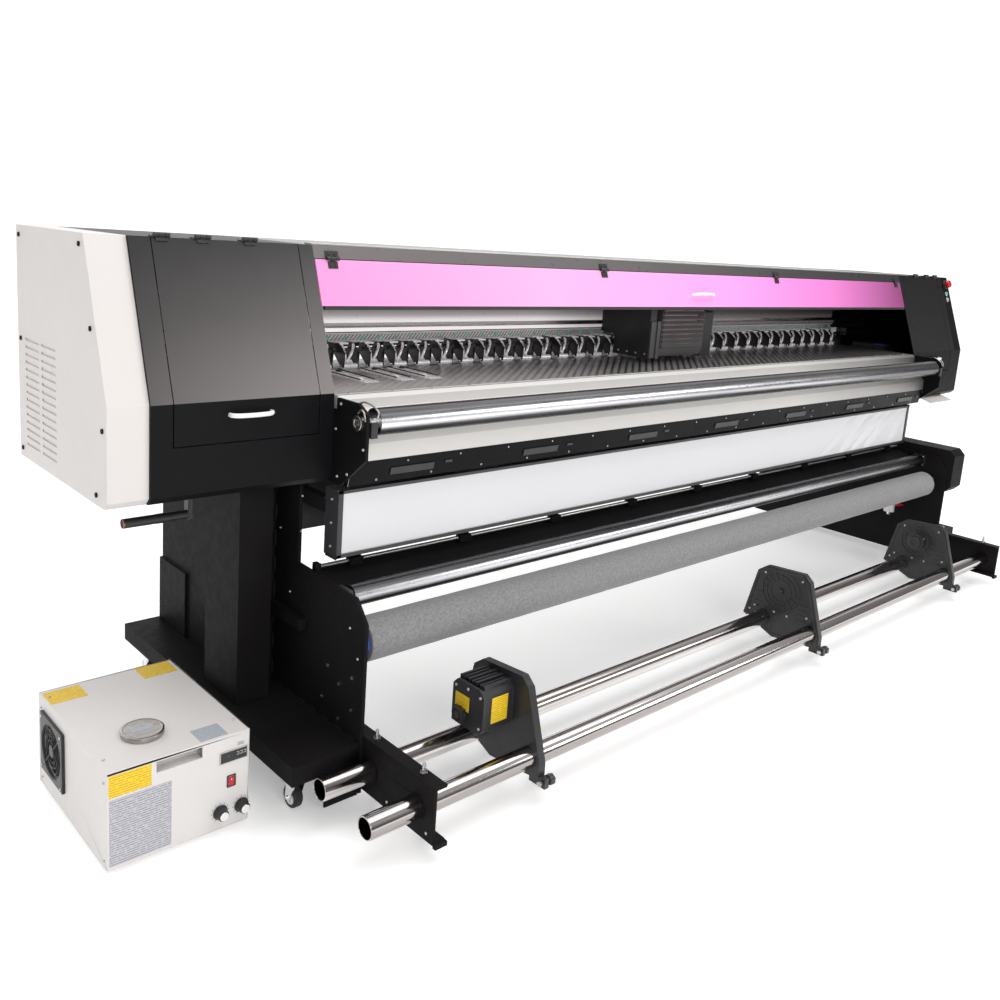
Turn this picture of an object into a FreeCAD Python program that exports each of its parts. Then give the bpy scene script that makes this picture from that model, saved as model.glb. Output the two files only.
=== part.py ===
import FreeCAD, Part
import math
import os

# Wide-format roll-to-roll printer, millimetres.
# X runs along the machine, -Y is the front (operator side), +Z is up.
# The origin lies on the floor, below the middle of the print opening.

os.makedirs("parts", exist_ok=True)

# ---- driving sizes ---------------------------------------------------------
OPEN_HALF = 1700.0        # half of the print opening
END_WIDTH = 490.0         # black part of one end housing
SHELL_WIDTH = 97.0        # white shell outside it
HOUSING_BACK = 197.0      # rear face of the housings
TOP_FRONT = -292.0        # front edge of the top
BEND_FRONT = -427.0       # vertical front face
TOP_Z = 1428.0
BEND_Z = 1052.0           # where the sloped front meets the vertical front
HOUSING_Z = 813.0         # underside of the housings
HOUSING_CHAMFER = 17.0
SHEET = 3.0               # housing sheet
SHELL_INSET = 8.0         # the shell stands back from the black front
VENT_ROWS = 15
VENT_PITCH = 20.0
DOOR_SIDE = 42.0          # fixed strip beside a door, opening side
DOOR_OUTER = 53.0         # fixed strip beside a door, shell side
DOOR_BOTTOM_Z = 947.0
DOOR_GAP = 2.0            # gap all round a door or window
DOOR_SHEET = 3.0
HEADER_DROP = 34.0        # height of the header strip above the window
WINDOW_DROP = 120.0       # height of the window
WINDOW_SHEET = 5.0
WINDOW_SIDE = 10.0

PLATE_OUT = OPEN_HALF + 38.0  # outer face of a leg plate
PLATE = 10.0
PLATE_FRONT = -668.0
COLUMN_OUT = PLATE_OUT + 162.0
COLUMN_IN = PLATE_OUT + 64.0
COLUMN_FRONT = -306.0
COLUMN_BACK = -114.0
CORE_OUT = PLATE_OUT + 77.0
CORE_FRONT = -210.0
CORE_STEP = 10.0          # the core is this much wider below CORE_STEP_Z, at the rear
CORE_STEP_Z = 385.0
CORE_BACK = 370.0
FOOT_OUT = PLATE_OUT + 196.0
FOOT_FRONT = -664.0
FOOT_BACK = 382.0
FOOT_Z = 173.0
FOOT_H = 52.0
SKIRT_Z = 30.0
SKIRT_OUT = PLATE_OUT + 100.0

WHEEL_R = 31.0
WHEEL_W = 26.0
AXLE_R = 5.0
CASTER_INSET = 62.0       # caster pivot from the foot's outer face
CASTER_TRAIL = 22.0
CASTER_FRONT = 72.0       # caster pivot from the foot's front or rear end
RUN_FIT = 0.1             # radial running fit

PLATEN_Z = 1045.0
PLATEN_H = 40.0
PLATEN_FRONT = -400.0
PLATEN_LIP = 38.0         # front strip of the platen
PLATEN_BACK = 150.0
MEDIA_SLOT = 35.0         # rear media slot above the platen
NIP_Y = -35.0
GRIT_R = 12.0
GRIT_PROUD = 0.5
GRIT_SLOT = 36.0
GRIT_HALF = OPEN_HALF - 75.0
PINCH_PITCH = 96.0
PINCH_COUNT = 2 * int((OPEN_HALF - 50) // PINCH_PITCH)  # even, so that hangers fall between arms
PINCH_R = 8.0
PINCH_WIDTH = 16.0
PINCH_AXLE_R = 3.0
ARM_SHEET = 3.0
ARM_WIDTH = 3 * PINCH_WIDTH + 2 * ARM_SHEET + 2
ARM_PIVOT_Y = 8.0
ARM_PIVOT_Z = 1100.0
ARM_SHAFT_R = 6.0
HANGER_PITCH = 5 * PINCH_PITCH
HANGER_SIDE = int((OPEN_HALF - 100) // HANGER_PITCH)  # hangers on each side of the middle one

BEAM_FRONT = 40.0
BEAM_DEPTH = 95.0
BEAM_Z = 1125.0
BEAM_H = 165.0
BEAM_HALF = OPEN_HALF + END_WIDTH - 110.0
RAIL = 15.0
RAIL_LOW_Z = 1152.0
RAIL_HIGH_Z = 1246.0

CAR_X = 30.0              # middle of the carriage at rest
CAR_W = 410.0
CAR_FRONT = -250.0
CAR_Z = 1062.0
CAR_TOP = 1256.0
CAR_BACK = -62.0          # rear of the front box, ahead of the pinch arms
CAR_NECK_Z = 1140.0       # the bridge over the pinch arms starts here

BRACKET = 10.0
PRESS_Y = -545.0
PRESS_Z = 995.0
PRESS_R = 36.0
PRESS_HALF = OPEN_HALF - 45.0
SPINDLE_R = 10.0
APRON = 3.0
CHANNEL_Z = 880.0
CHANNEL_H = 68.0
CHANNEL_FRONT = -505.0

BOX_HALF = OPEN_HALF - 10.0
BOX_FRONT = -450.0
BOX_DEPTH = 62.0
BOX_Z = 602.0
BOX_H = 188.0
BOX_WALL = 4.0            # rails and back of the light box
BOX_END = 8.0             # its end plates

BEAM_LOW_FRONT = -180.0
BEAM_LOW_BACK = 150.0
BEAM_LOW_Z = 600.0
BEAM_LOW_H = 200.0
RIB_COUNT = 7
RIB_W = 20.0

IDLE_Y = -530.0
IDLE_Z = 525.0
IDLE_R = 30.0
FELT_Y = -575.0
FELT_Z = 415.0
FELT_R = 60.0
CORE_R = 44.0
ROLL_HALF = OPEN_HALF - 12.0
BEARING = 24.0            # bearing block on a leg plate's inner face
GUARD_RAIL_Y = -405.0
GUARD_RAIL_Z = 571.0
GUARD_RAIL_R = 6.0
CLIP_COUNT = 9

TUBE_REAR_Y = -700.0
TUBE_FRONT_Y = -895.0
TUBE_Z = 114.0
TUBE_R = 30.0
TUBE_WALL = 4.0
TUBE_LEFT = -OPEN_HALF - 178.0
TUBE_RIGHT = OPEN_HALF + 60.0
ARM_FRONT = -965.0
ARM_BACK = -610.0
ARM_Z = 45.0
ARM_H = 150.0
ARM_FLANGE = 38.0
ARM_WEB = 8.0
HOLDER_X = (-1335.0, 120.0, 1300.0)
HOLDER_T = 24.0
CHUCK_Y = -762.0
CHUCK_Z = 238.0
CHUCK_SHAFT_R = 10.0
CHUCK_R = 38.0            # for 3 inch (76.2 mm) roll cores
KNOB_Y = -948.0
KNOB_Z = 62.0

LEVER_Y = -250.0
LEVER_Z = 783.0
LEVER_DROP = 60.0
LEVER_R = 12.0
LEVER_PIVOT = -OPEN_HALF - 400.0  # outer bracket of the lever shaft
LEVER_SPAN = 155.0        # between the two brackets
LEVER_LEFT = LEVER_PIVOT - 85.0
LEVER_RIGHT = LEVER_PIVOT + 90.0

COOLER_W = 347.0
COOLER_GAP = 64.0         # between the cooler and the left foot
COOLER_LEFT = -FOOT_OUT - COOLER_GAP - COOLER_W
COOLER_FRONT = -565.0
COOLER_D = 462.0
COOLER_TOP = 257.0
COOLER_FOOT = 12.0
COOLER_WALL = 3.0
FAN_Y = -215.0
FAN_Z = 165.0
FAN_R = 68.0
FAN_FRAME = FAN_R + 10.0  # half of the square frame

END_OUT = OPEN_HALF + END_WIDTH
SHELL_OUT = END_OUT + SHELL_WIDTH
SLOPE = (TOP_FRONT - BEND_FRONT) / (TOP_Z - BEND_Z)
SIDES = (-1, 1)


# ---- small helpers ---------------------------------------------------------
def box(x0, x1, y0, y1, z0, z1):
    corner = FreeCAD.Vector(min(x0, x1), min(y0, y1), min(z0, z1))
    return Part.makeBox(abs(x1 - x0), abs(y1 - y0), abs(z1 - z0), corner)


def prism_x(points, x0, x1):
    """A YZ outline pushed from x0 to x1."""
    low, high = min(x0, x1), max(x0, x1)
    loop = [FreeCAD.Vector(low, y, z) for y, z in points]
    face = Part.Face(Part.makePolygon(loop + loop[:1]))
    return face.extrude(FreeCAD.Vector(high - low, 0, 0))


def cyl_x(radius, x0, x1, y, z):
    low, high = min(x0, x1), max(x0, x1)
    return Part.makeCylinder(radius, high - low, FreeCAD.Vector(low, y, z), FreeCAD.Vector(1, 0, 0))


def cyl_y(radius, y0, y1, x, z):
    low, high = min(y0, y1), max(y0, y1)
    return Part.makeCylinder(radius, high - low, FreeCAD.Vector(x, low, z), FreeCAD.Vector(0, 1, 0))


def cyl_z(radius, z0, z1, x, y):
    low, high = min(z0, z1), max(z0, z1)
    return Part.makeCylinder(radius, high - low, FreeCAD.Vector(x, y, low))


def cut(shape, *tools):
    for tool in tools:
        shape = shape.cut(tool)
    return shape


def fuse(first, *others):
    for other in others:
        first = first.fuse(other)
    return first.removeSplitter()


def save(name, *solids):
    shape = solids[0] if len(solids) == 1 else Part.makeCompound(list(solids))
    shape.exportStep("parts/" + name + ".step")


def slope_y(z, inward=0.0):
    """Front face of the housing at height z, moved inward square to the slope."""
    if z <= BEND_Z:
        return BEND_FRONT + inward
    return BEND_FRONT + (z - BEND_Z) * SLOPE + inward * math.hypot(1, SLOPE)


def housing(inward=0.0):
    """Side outline of an end housing, offset inward by a wall."""
    top = TOP_Z - inward
    low = HOUSING_Z + inward
    return [
        (HOUSING_BACK - inward, low),
        (HOUSING_BACK - inward, top),
        (slope_y(top, inward), top),
        (BEND_FRONT + inward, BEND_Z),
        (BEND_FRONT + inward, low + HOUSING_CHAMFER),
        (BEND_FRONT + HOUSING_CHAMFER + inward, low),
    ]


def sloped_panel(z0, z1, thickness, x0, x1):
    """A bent sheet whose outer face follows the housing front from z0 up to z1."""
    outer = [(slope_y(z0), z0)]
    inner = [(slope_y(z0, thickness), z0)]
    if z0 < BEND_Z < z1:
        outer.append((slope_y(BEND_Z), BEND_Z))
        inner.append((slope_y(BEND_Z, thickness), BEND_Z))
    outer.append((slope_y(z1), z1))
    inner.append((slope_y(z1, thickness), z1))
    return prism_x(outer + inner[::-1], x0, x1)


def slope_frame(z, x, lift=0.0):
    """Placement whose local -Y is square to the sloped front at height z."""
    angle = math.degrees(math.atan(SLOPE))
    spin = FreeCAD.Rotation(FreeCAD.Vector(1, 0, 0), -angle)
    y = slope_y(z, -lift)
    return FreeCAD.Placement(FreeCAD.Vector(x, y, z), spin)


def placed(shape, placement):
    copy = shape.copy()
    copy.Placement = placement
    return copy


def bow_handle(length, reach, thick):
    """A flat bow: two feet on the panel and a bar in front of them, about the local origin."""
    half = length / 2
    foot = thick * 1.6
    left = box(-half, -half + foot, -reach, 0, -thick / 2, thick / 2)
    right = box(half - foot, half, -reach, 0, -thick / 2, thick / 2)
    bar = box(-half, half, -reach, -reach + thick * 0.6, -thick / 2, thick / 2)
    return fuse(left, right, bar)


# ---- legs ------------------------------------------------------------------
def leg_plate(side):
    inner = PLATE_OUT - PLATE
    outline = [
        (PLATE_FRONT, SKIRT_Z + 4),
        (PLATE_FRONT, 499),
        (-617, 557),
        (-336, 565),
        (-336, HOUSING_Z),
        (CORE_BACK, HOUSING_Z),
        (CORE_BACK, SKIRT_Z + 4),
    ]
    return prism_x(outline, side * inner, side * PLATE_OUT)


def leg_boxes(side):
    column = box(side * COLUMN_IN, side * COLUMN_OUT, COLUMN_FRONT, COLUMN_BACK, FOOT_Z, HOUSING_Z)
    core = box(side * PLATE_OUT, side * CORE_OUT, CORE_FRONT, CORE_BACK, FOOT_Z, HOUSING_Z)
    skirt = box(side * CORE_OUT, side * (CORE_OUT + CORE_STEP), CORE_BACK - 190, CORE_BACK, FOOT_Z, CORE_STEP_Z)
    return fuse(column, core, skirt)


def plate_bar():
    """Short tie bar on the left plate's outer face."""
    return box(-PLATE_OUT, -PLATE_OUT - 22, -390, -210, 388, 421)


def drive_cover():
    cover = box(PLATE_OUT, PLATE_OUT + 122, -690, -330, 385, 598)
    return cover.makeChamfer(28, [e for e in cover.Edges if edge_at(e, y=-690) and along_x(e)])


def along_x(edge):
    a, b = edge.Vertexes[0].Point, edge.Vertexes[-1].Point
    return abs(a.y - b.y) < 1e-6 and abs(a.z - b.z) < 1e-6


def edge_at(edge, y):
    return all(abs(v.Point.y - y) < 1e-6 for v in edge.Vertexes)


def foot(side):
    """Foot box and the skirt plate welded below its front end."""
    foot_box = box(side * PLATE_OUT, side * FOOT_OUT, FOOT_FRONT, FOOT_BACK, FOOT_Z - FOOT_H, FOOT_Z)
    skirt = box(side * PLATE_OUT, side * SKIRT_OUT, FOOT_FRONT, FOOT_FRONT + 6, SKIRT_Z, FOOT_Z - FOOT_H)
    return foot_box, skirt


def caster_x(side):
    return side * (FOOT_OUT - CASTER_INSET)


CASTER_FRONT_Y = FOOT_FRONT + CASTER_FRONT
CASTER_REAR_Y = FOOT_BACK - CASTER_FRONT
CASTER_PLATE_Z = FOOT_Z - FOOT_H


def caster_fork(x, y):
    """Swivel fork under the foot: stem, crown, two cheeks and the axle."""
    axle_y = y + CASTER_TRAIL
    cheek_in = WHEEL_W / 2 + 1.5
    cheek_out = cheek_in + 4
    crown_z = CASTER_PLATE_Z - 14
    outline = [
        (y - 20, crown_z),
        (y + 24, crown_z),
        (axle_y + 11, WHEEL_R - 8),
        (axle_y - 11, WHEEL_R - 8),
    ]
    crown = box(x - cheek_out, x + cheek_out, y - 20, y + 24, crown_z - 4, crown_z)
    stem = cyl_z(9, crown_z, CASTER_PLATE_Z - 4, x, y)
    left = prism_x(outline, x - cheek_out, x - cheek_in)
    right = prism_x(outline, x + cheek_in, x + cheek_out)
    axle = cyl_x(AXLE_R, x - cheek_out - 3, x + cheek_out + 3, axle_y, WHEEL_R)
    return fuse(crown, stem, left, right, axle)


def caster_top(x, y):
    """Fixed top plate, flat under the foot, that the stem turns below."""
    return box(x - 24, x + 24, y - 28, y + 28, CASTER_PLATE_Z - 4, CASTER_PLATE_Z)


def caster_wheel(x, y):
    axle_y = y + CASTER_TRAIL
    rim = cyl_x(WHEEL_R, x - WHEEL_W / 2, x + WHEEL_W / 2, axle_y, WHEEL_R)
    rounded = rim.makeFillet(4, [e for e in rim.Edges if e.Curve.TypeId == "Part::GeomCircle"])
    return cut(rounded, cyl_x(AXLE_R + RUN_FIT, x - WHEEL_W, x + WHEEL_W, axle_y, WHEEL_R))


def cross_beam():
    """Beam of four welded plates between the legs, with ribs that carry the platen."""
    inner = PLATE_OUT - PLATE
    wall = 6.0
    top = BEAM_LOW_Z + BEAM_LOW_H
    solids = [
        box(-inner, inner, BEAM_LOW_FRONT, BEAM_LOW_FRONT + wall, BEAM_LOW_Z, top),
        box(-inner, inner, BEAM_LOW_BACK - wall, BEAM_LOW_BACK, BEAM_LOW_Z, top),
        box(-inner, inner, BEAM_LOW_FRONT + wall, BEAM_LOW_BACK - wall, BEAM_LOW_Z, BEAM_LOW_Z + wall),
        box(-inner, inner, BEAM_LOW_FRONT + wall, BEAM_LOW_BACK - wall, top - wall, top),
    ]
    first = -(BOX_HALF - RIB_W / 2)
    pitch = -2 * first / (RIB_COUNT - 1)
    under = PLATEN_Z - PLATEN_H
    for n in range(RIB_COUNT):
        x = first + n * pitch
        outline = [
            (BEAM_LOW_BACK, top),
            (BEAM_LOW_BACK, under),
            (PLATEN_FRONT, under),
            (PLATEN_FRONT, under - 40),
            (BEAM_LOW_FRONT, top),
        ]
        solids.append(prism_x(outline, x - RIB_W / 2, x + RIB_W / 2))
    return solids


# ---- platen, apron, light box ----------------------------------------------
def platen():
    low = PLATEN_Z - PLATEN_H
    slot = box(
        -GRIT_HALF, GRIT_HALF, NIP_Y - GRIT_SLOT / 2, NIP_Y + GRIT_SLOT / 2, low - 1, PLATEN_Z + 1
    )
    bed = box(-OPEN_HALF, OPEN_HALF, PLATEN_FRONT, PLATEN_BACK, low, PLATEN_Z)
    ends = GRIT_HALF + 40
    bore = cyl_x(5 + RUN_FIT, -ends, ends, NIP_Y, grit_z())
    strip = prism_x(
        [
            (PLATEN_FRONT, low + 5),
            (PLATEN_FRONT, PLATEN_Z),
            (PLATEN_FRONT - PLATEN_LIP + 10, PLATEN_Z),
            (PLATEN_FRONT - PLATEN_LIP, PLATEN_Z - 10),
            (PLATEN_FRONT - PLATEN_LIP, low + 5),
        ],
        -BOX_HALF,
        BOX_HALF,
    )
    return cut(bed, slot, bore), strip


def grit_z():
    return PLATEN_Z + GRIT_PROUD - GRIT_R


def grit_roller():
    body = cyl_x(GRIT_R, -GRIT_HALF + 2, GRIT_HALF - 2, NIP_Y, grit_z())
    spindle = cyl_x(5, -GRIT_HALF - 30, GRIT_HALF + 30, NIP_Y, grit_z())
    return fuse(body, spindle)


def apron():
    """Bent cream sheet from the platen's front down to the black channel."""
    back = PLATEN_FRONT - PLATEN_LIP
    face = [
        (back, PLATEN_Z - PLATEN_H + 5),
        (back - 36, 958),
        (CHANNEL_FRONT + 4, 925),
        (CHANNEL_FRONT, CHANNEL_Z),
    ]
    outline = face + [(y + APRON + 1, z) for y, z in face[::-1]]
    return prism_x(outline, -BOX_HALF, BOX_HALF)


def channel():
    """Black channel below the apron, open to the rear."""
    low = CHANNEL_Z - CHANNEL_H
    outline = [
        (CHANNEL_FRONT, CHANNEL_Z),
        (CHANNEL_FRONT + 16, low),
        (BOX_FRONT + 60, low),
        (BOX_FRONT + 60, low + 4),
        (CHANNEL_FRONT + 20, low + 4),
        (CHANNEL_FRONT + 5, CHANNEL_Z - 4),
        (CHANNEL_FRONT + 60, CHANNEL_Z - 4),
        (CHANNEL_FRONT + 60, CHANNEL_Z),
    ]
    return prism_x(outline, -BOX_HALF, BOX_HALF)


def end_bracket(side):
    """Plate at each end of the opening that carries the pressure roller."""
    outline = [
        (PLATEN_FRONT - PLATEN_LIP - 2, PLATEN_Z - 2),
        (PRESS_Y + 8, PLATEN_Z - 2),
        (PRESS_Y - 33, PRESS_Z + 26),
        (PRESS_Y - 33, 902),
        (-470, HOUSING_Z),
        (BOX_FRONT + 60, HOUSING_Z),
        (BEAM_LOW_FRONT, BEAM_LOW_Z + BEAM_LOW_H + 40),
        (BEAM_LOW_FRONT, PLATEN_Z - PLATEN_H),
        (PLATEN_FRONT - PLATEN_LIP - 2, PLATEN_Z - PLATEN_H),
    ]
    plate = prism_x(outline, side * BOX_HALF, side * OPEN_HALF)
    hole = cyl_x(SPINDLE_R + RUN_FIT, side * (BOX_HALF - 1), side * (OPEN_HALF + 1), PRESS_Y, PRESS_Z)
    ring = cyl_x(SPINDLE_R + 9, side * OPEN_HALF, side * (OPEN_HALF + 8), PRESS_Y, PRESS_Z)
    ring = cut(ring, cyl_x(SPINDLE_R + RUN_FIT, side * OPEN_HALF, side * (OPEN_HALF + 9), PRESS_Y, PRESS_Z))
    return cut(plate, hole), ring


def turned_roller(radius, half, reach, y, z):
    body = cyl_x(radius, -half, half, y, z)
    return fuse(body, cyl_x(SPINDLE_R, -reach, reach, y, z))


def light_box_frame():
    back = BOX_FRONT + BOX_DEPTH
    top = BOX_Z + BOX_H
    inner = BOX_HALF - BOX_END
    solids = [
        box(-inner, inner, BOX_FRONT, back, BOX_Z, BOX_Z + BOX_WALL),
        box(-inner, inner, BOX_FRONT, back, top - BOX_WALL, top),
        box(-inner, inner, back - BOX_WALL, back, BOX_Z + BOX_WALL, top - BOX_WALL),
    ]
    for side in SIDES:
        solids.append(box(side * inner, side * BOX_HALF, BOX_FRONT, back, BOX_Z, top))
    for x in (-BOX_HALF + 60, 0, BOX_HALF - 60):
        solids.append(box(x - 15, x + 15, back, BEAM_LOW_FRONT, 690, 730))
    return solids


def light_box_film():
    """Closed sheet that stands for the stretched film."""
    front = BOX_FRONT + 3
    inner = BOX_HALF - BOX_END
    return box(-inner, inner, front, front + 4, BOX_Z + BOX_WALL, BOX_Z + BOX_H - BOX_WALL)


# ---- printing group --------------------------------------------------------
def upper_beam():
    beam = box(-BEAM_HALF, BEAM_HALF, BEAM_FRONT, BEAM_FRONT + BEAM_DEPTH, BEAM_Z, BEAM_Z + BEAM_H)
    solids = [beam]
    for z in (RAIL_LOW_Z, RAIL_HIGH_Z):
        solids.append(box(-BEAM_HALF, BEAM_HALF, BEAM_FRONT - RAIL, BEAM_FRONT, z, z + RAIL))
    strip_z = (RAIL_LOW_Z + RAIL_HIGH_Z) / 2
    solids.append(box(-BEAM_HALF, BEAM_HALF, BEAM_FRONT - 2, BEAM_FRONT, strip_z - 12, strip_z + 12))
    for side in SIDES:
        x = side * (OPEN_HALF + 100)
        post = box(x - 30, x + 30, BEAM_FRONT, BEAM_FRONT + BEAM_DEPTH, HOUSING_Z + SHEET, BEAM_Z)
        solids.append(post)
    inner = [n * HANGER_PITCH for n in range(-HANGER_SIDE, HANGER_SIDE + 1)]
    for x in inner + [-OPEN_HALF - 100, OPEN_HALF + 100]:
        solids.append(shaft_hanger(x))
    return solids


def shaft_hanger(x):
    """Small hanger that carries the pinch shaft, below the beam or on a beam post."""
    low = ARM_PIVOT_Z - 12
    eye = box(x - 5, x + 5, ARM_PIVOT_Y - 12, BEAM_FRONT, low, BEAM_Z)
    if abs(x) < OPEN_HALF:
        eye = fuse(eye, box(x - 5, x + 5, BEAM_FRONT, BEAM_FRONT + 30, BEAM_Z - 8, BEAM_Z))
    bore = cyl_x(ARM_SHAFT_R + RUN_FIT, x - 6, x + 6, ARM_PIVOT_Y, ARM_PIVOT_Z)
    return eye.cut(bore)


def arm_positions():
    first = -PINCH_PITCH * (PINCH_COUNT - 1) / 2
    return [first + n * PINCH_PITCH for n in range(PINCH_COUNT)]


def pinch_z():
    return PLATEN_Z + GRIT_PROUD + 0.3 + PINCH_R


def pinch_arms():
    """All arms on their common shaft, with one axle per arm for its rollers."""
    z = pinch_z()
    solids = [cyl_x(ARM_SHAFT_R, -BEAM_HALF, BEAM_HALF, ARM_PIVOT_Y, ARM_PIVOT_Z)]
    outline = [
        (ARM_PIVOT_Y + 12, ARM_PIVOT_Z - 10),
        (ARM_PIVOT_Y + 12, ARM_PIVOT_Z + 18),
        (ARM_PIVOT_Y - 16, ARM_PIVOT_Z + 24),
        (NIP_Y - 12, z + 42),
        (NIP_Y - 7, z - 4),
        (NIP_Y + 7, z - 4),
    ]
    for x in arm_positions():
        half = ARM_WIDTH / 2
        left = prism_x(outline, x - half, x - half + ARM_SHEET)
        right = prism_x(outline, x + half - ARM_SHEET, x + half)
        bridge = prism_x(
            [outline[2], outline[1], (ARM_PIVOT_Y + 12, ARM_PIVOT_Z + 15), (ARM_PIVOT_Y - 16, ARM_PIVOT_Z + 20)],
            x - half,
            x + half,
        )
        axle = cyl_x(PINCH_AXLE_R, x - half - 3, x + half + 3, NIP_Y, z)
        arm = fuse(left, right, bridge, axle)
        hub = cyl_x(ARM_SHAFT_R, x - half - 1, x + half + 1, ARM_PIVOT_Y, ARM_PIVOT_Z)
        solids.append(arm.cut(hub))
    return solids


def pinch_rollers():
    z = pinch_z()
    solids = []
    spacing = PINCH_WIDTH + 1
    for x in arm_positions():
        for n in (-1, 0, 1):
            middle = x + n * spacing
            roller = cyl_x(PINCH_R, middle - PINCH_WIDTH / 2, middle + PINCH_WIDTH / 2, NIP_Y, z)
            bore = cyl_x(PINCH_AXLE_R + RUN_FIT, middle - PINCH_WIDTH, middle + PINCH_WIDTH, NIP_Y, z)
            solids.append(roller.cut(bore))
    return solids


def carriage():
    """Print-head carriage: dark head box, ribbed lamp cover and the rail bridge."""
    left = CAR_X - CAR_W / 2
    right = CAR_X + CAR_W / 2
    split = left + 0.12 * CAR_W
    lamp = left + 0.80 * CAR_W
    head = box(left, split, CAR_FRONT + 14, CAR_BACK, CAR_Z, CAR_TOP - 6)
    cover = box(split, lamp, CAR_FRONT, CAR_BACK, CAR_Z + 8, CAR_TOP)
    cover = cover.makeChamfer(10, [e for e in cover.Edges if edge_at(e, y=CAR_FRONT) and along_x(e)])
    louvres = []
    for n in range(6):
        z = CAR_Z + 60 + n * 22
        louvres.append(box(split + 40, lamp - 40, CAR_FRONT - 1, CAR_FRONT + 4, z, z + 8))
    cover = cut(cover, *louvres)
    side = box(lamp, right, CAR_FRONT + 22, CAR_BACK, CAR_Z, CAR_TOP - 12)
    bridge = box(left + 20, right - 20, CAR_BACK, BEAM_FRONT - RAIL - 0.3, CAR_NECK_Z, CAR_TOP - 14)
    return head, cover, side, bridge


def media_clamp(x):
    """Thin edge clamp lying on the platen, with a small thumb block."""
    y = NIP_Y - GRIT_SLOT / 2 - 14
    blade = prism_x(
        [
            (y, PLATEN_Z),
            (y - 205, PLATEN_Z),
            (y - 222, PLATEN_Z + 2),
            (y - 205, PLATEN_Z + 3),
            (y, PLATEN_Z + 5),
        ],
        x - 26,
        x + 26,
    )
    block = box(x - 12, x + 12, y - 56, y - 26, PLATEN_Z + 4.0, PLATEN_Z + 12)
    return fuse(blade, block)


CLAMP_X = [shift - OPEN_HALF for shift in (220.0, 350.0, 455.0)]


def cap_station():
    """Capping station inside the right housing, and the waste tray lip below it."""
    left = OPEN_HALF + 160
    base = box(left, left + 200, -210, 20, HOUSING_Z + SHEET, 980)
    tray = box(left + 10, left + 190, -200, 10, 980, 1030)
    pad = box(left + 25, left + 175, -185, -5, 1030, 1052)
    return base, tray, pad


def waste_flap():
    """White drip flap that hangs in front under the right housing."""
    z = HOUSING_Z
    return prism_x([(-395, z), (-470, z - 22), (-471, z - 19), (-397, z)], OPEN_HALF + 190, OPEN_HALF + 450)


# ---- end housings ----------------------------------------------------------
def head_frame(side):
    inner = OPEN_HALF
    outer = END_OUT
    body = prism_x(housing(), side * inner, side * outer)
    hollow = prism_x(housing(SHEET), side * (inner - 10), side * (outer - SHEET))
    door = box(
        side * (inner + DOOR_SIDE), side * (outer - DOOR_OUTER), BEND_FRONT - 50, TOP_FRONT + 8,
        DOOR_BOTTOM_Z, TOP_Z + 10
    )
    return cut(body, hollow, door)


def shell_outline(wall):
    """Side outline of the white shell, which stands back from the black front."""
    front = SHELL_INSET + wall
    low = HOUSING_Z + wall
    top = TOP_Z - wall
    return [
        (HOUSING_BACK - wall, low),
        (HOUSING_BACK - wall, top),
        (slope_y(top, front), top),
        (BEND_FRONT + front, BEND_Z),
        (BEND_FRONT + front, low + HOUSING_CHAMFER),
        (BEND_FRONT + front + HOUSING_CHAMFER, low),
    ]


def shell(side):
    """White side shell: a shallow tray with the side wall outermost and vent slots in it."""
    body = prism_x(shell_outline(0), side * END_OUT, side * SHELL_OUT)
    hollow = prism_x(shell_outline(SHEET), side * (END_OUT - 5), side * (SHELL_OUT - SHEET))
    slots = []
    for row in range(VENT_ROWS):
        z = HOUSING_Z + 40 + row * VENT_PITCH
        for y in (-90, 35):
            slots.append(box(side * (SHELL_OUT - 10), side * (SHELL_OUT + 1), y, y + 105, z, z + 6))
    return cut(body, hollow, *slots)


def door(side):
    """Bent service door with its bow handle."""
    x0 = side * (OPEN_HALF + DOOR_SIDE + DOOR_GAP)
    x1 = side * (END_OUT - DOOR_OUTER - DOOR_GAP)
    panel = sloped_panel(DOOR_BOTTOM_Z + DOOR_GAP, TOP_Z, DOOR_SHEET, x0, x1)
    middle = (x0 + x1) / 2
    grip = placed(bow_handle(120, 26, 12), FreeCAD.Placement(
        FreeCAD.Vector(middle, BEND_FRONT, BEND_Z - 35), FreeCAD.Rotation()))
    hinges = []
    for x in door_hinge_x(side):
        hinges.append(hinge_half(x, DOOR_AXIS, -SLOPE_ANGLE, door_leaf_lift(), 34, MOVING_KNUCKLES))
    return [panel, grip] + hinges


HINGE_R = 5.0
HINGE_PIN_R = 2.0
HINGE_LIFT = 6.0          # hinge axis above the sheet that a leaf lies on
HINGE_LEAF = 3.0
DOOR_HINGES = (27.0, 130.0, 255.0)
WINDOW_HINGES = (55.0 - OPEN_HALF, -548.0, 548.0, OPEN_HALF - 55.0)
SLOPE_ANGLE = math.degrees(math.atan(SLOPE))
DOOR_AXIS = (TOP_FRONT - 3.2, TOP_Z + HINGE_LIFT)
FIXED_KNUCKLES = ((-20, -8), (8, 20))
MOVING_KNUCKLES = ((-7.5, 7.5),)


def window_axis():
    """Hinge axis of the window, lifted square to the slope at the gap above it."""
    z = TOP_Z - HEADER_DROP - DOOR_GAP / 2
    turn = math.radians(SLOPE_ANGLE)
    return slope_y(z) - HINGE_LIFT * math.cos(turn), z + HINGE_LIFT * math.sin(turn)


def door_leaf_lift():
    """Distance from the door's hinge axis to the sloped outer face of the door."""
    turn = math.radians(SLOPE_ANGLE)
    back = TOP_FRONT - DOOR_AXIS[0]
    rise = DOOR_AXIS[1] - TOP_Z
    return back * math.cos(turn) + rise * math.sin(turn)


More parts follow.
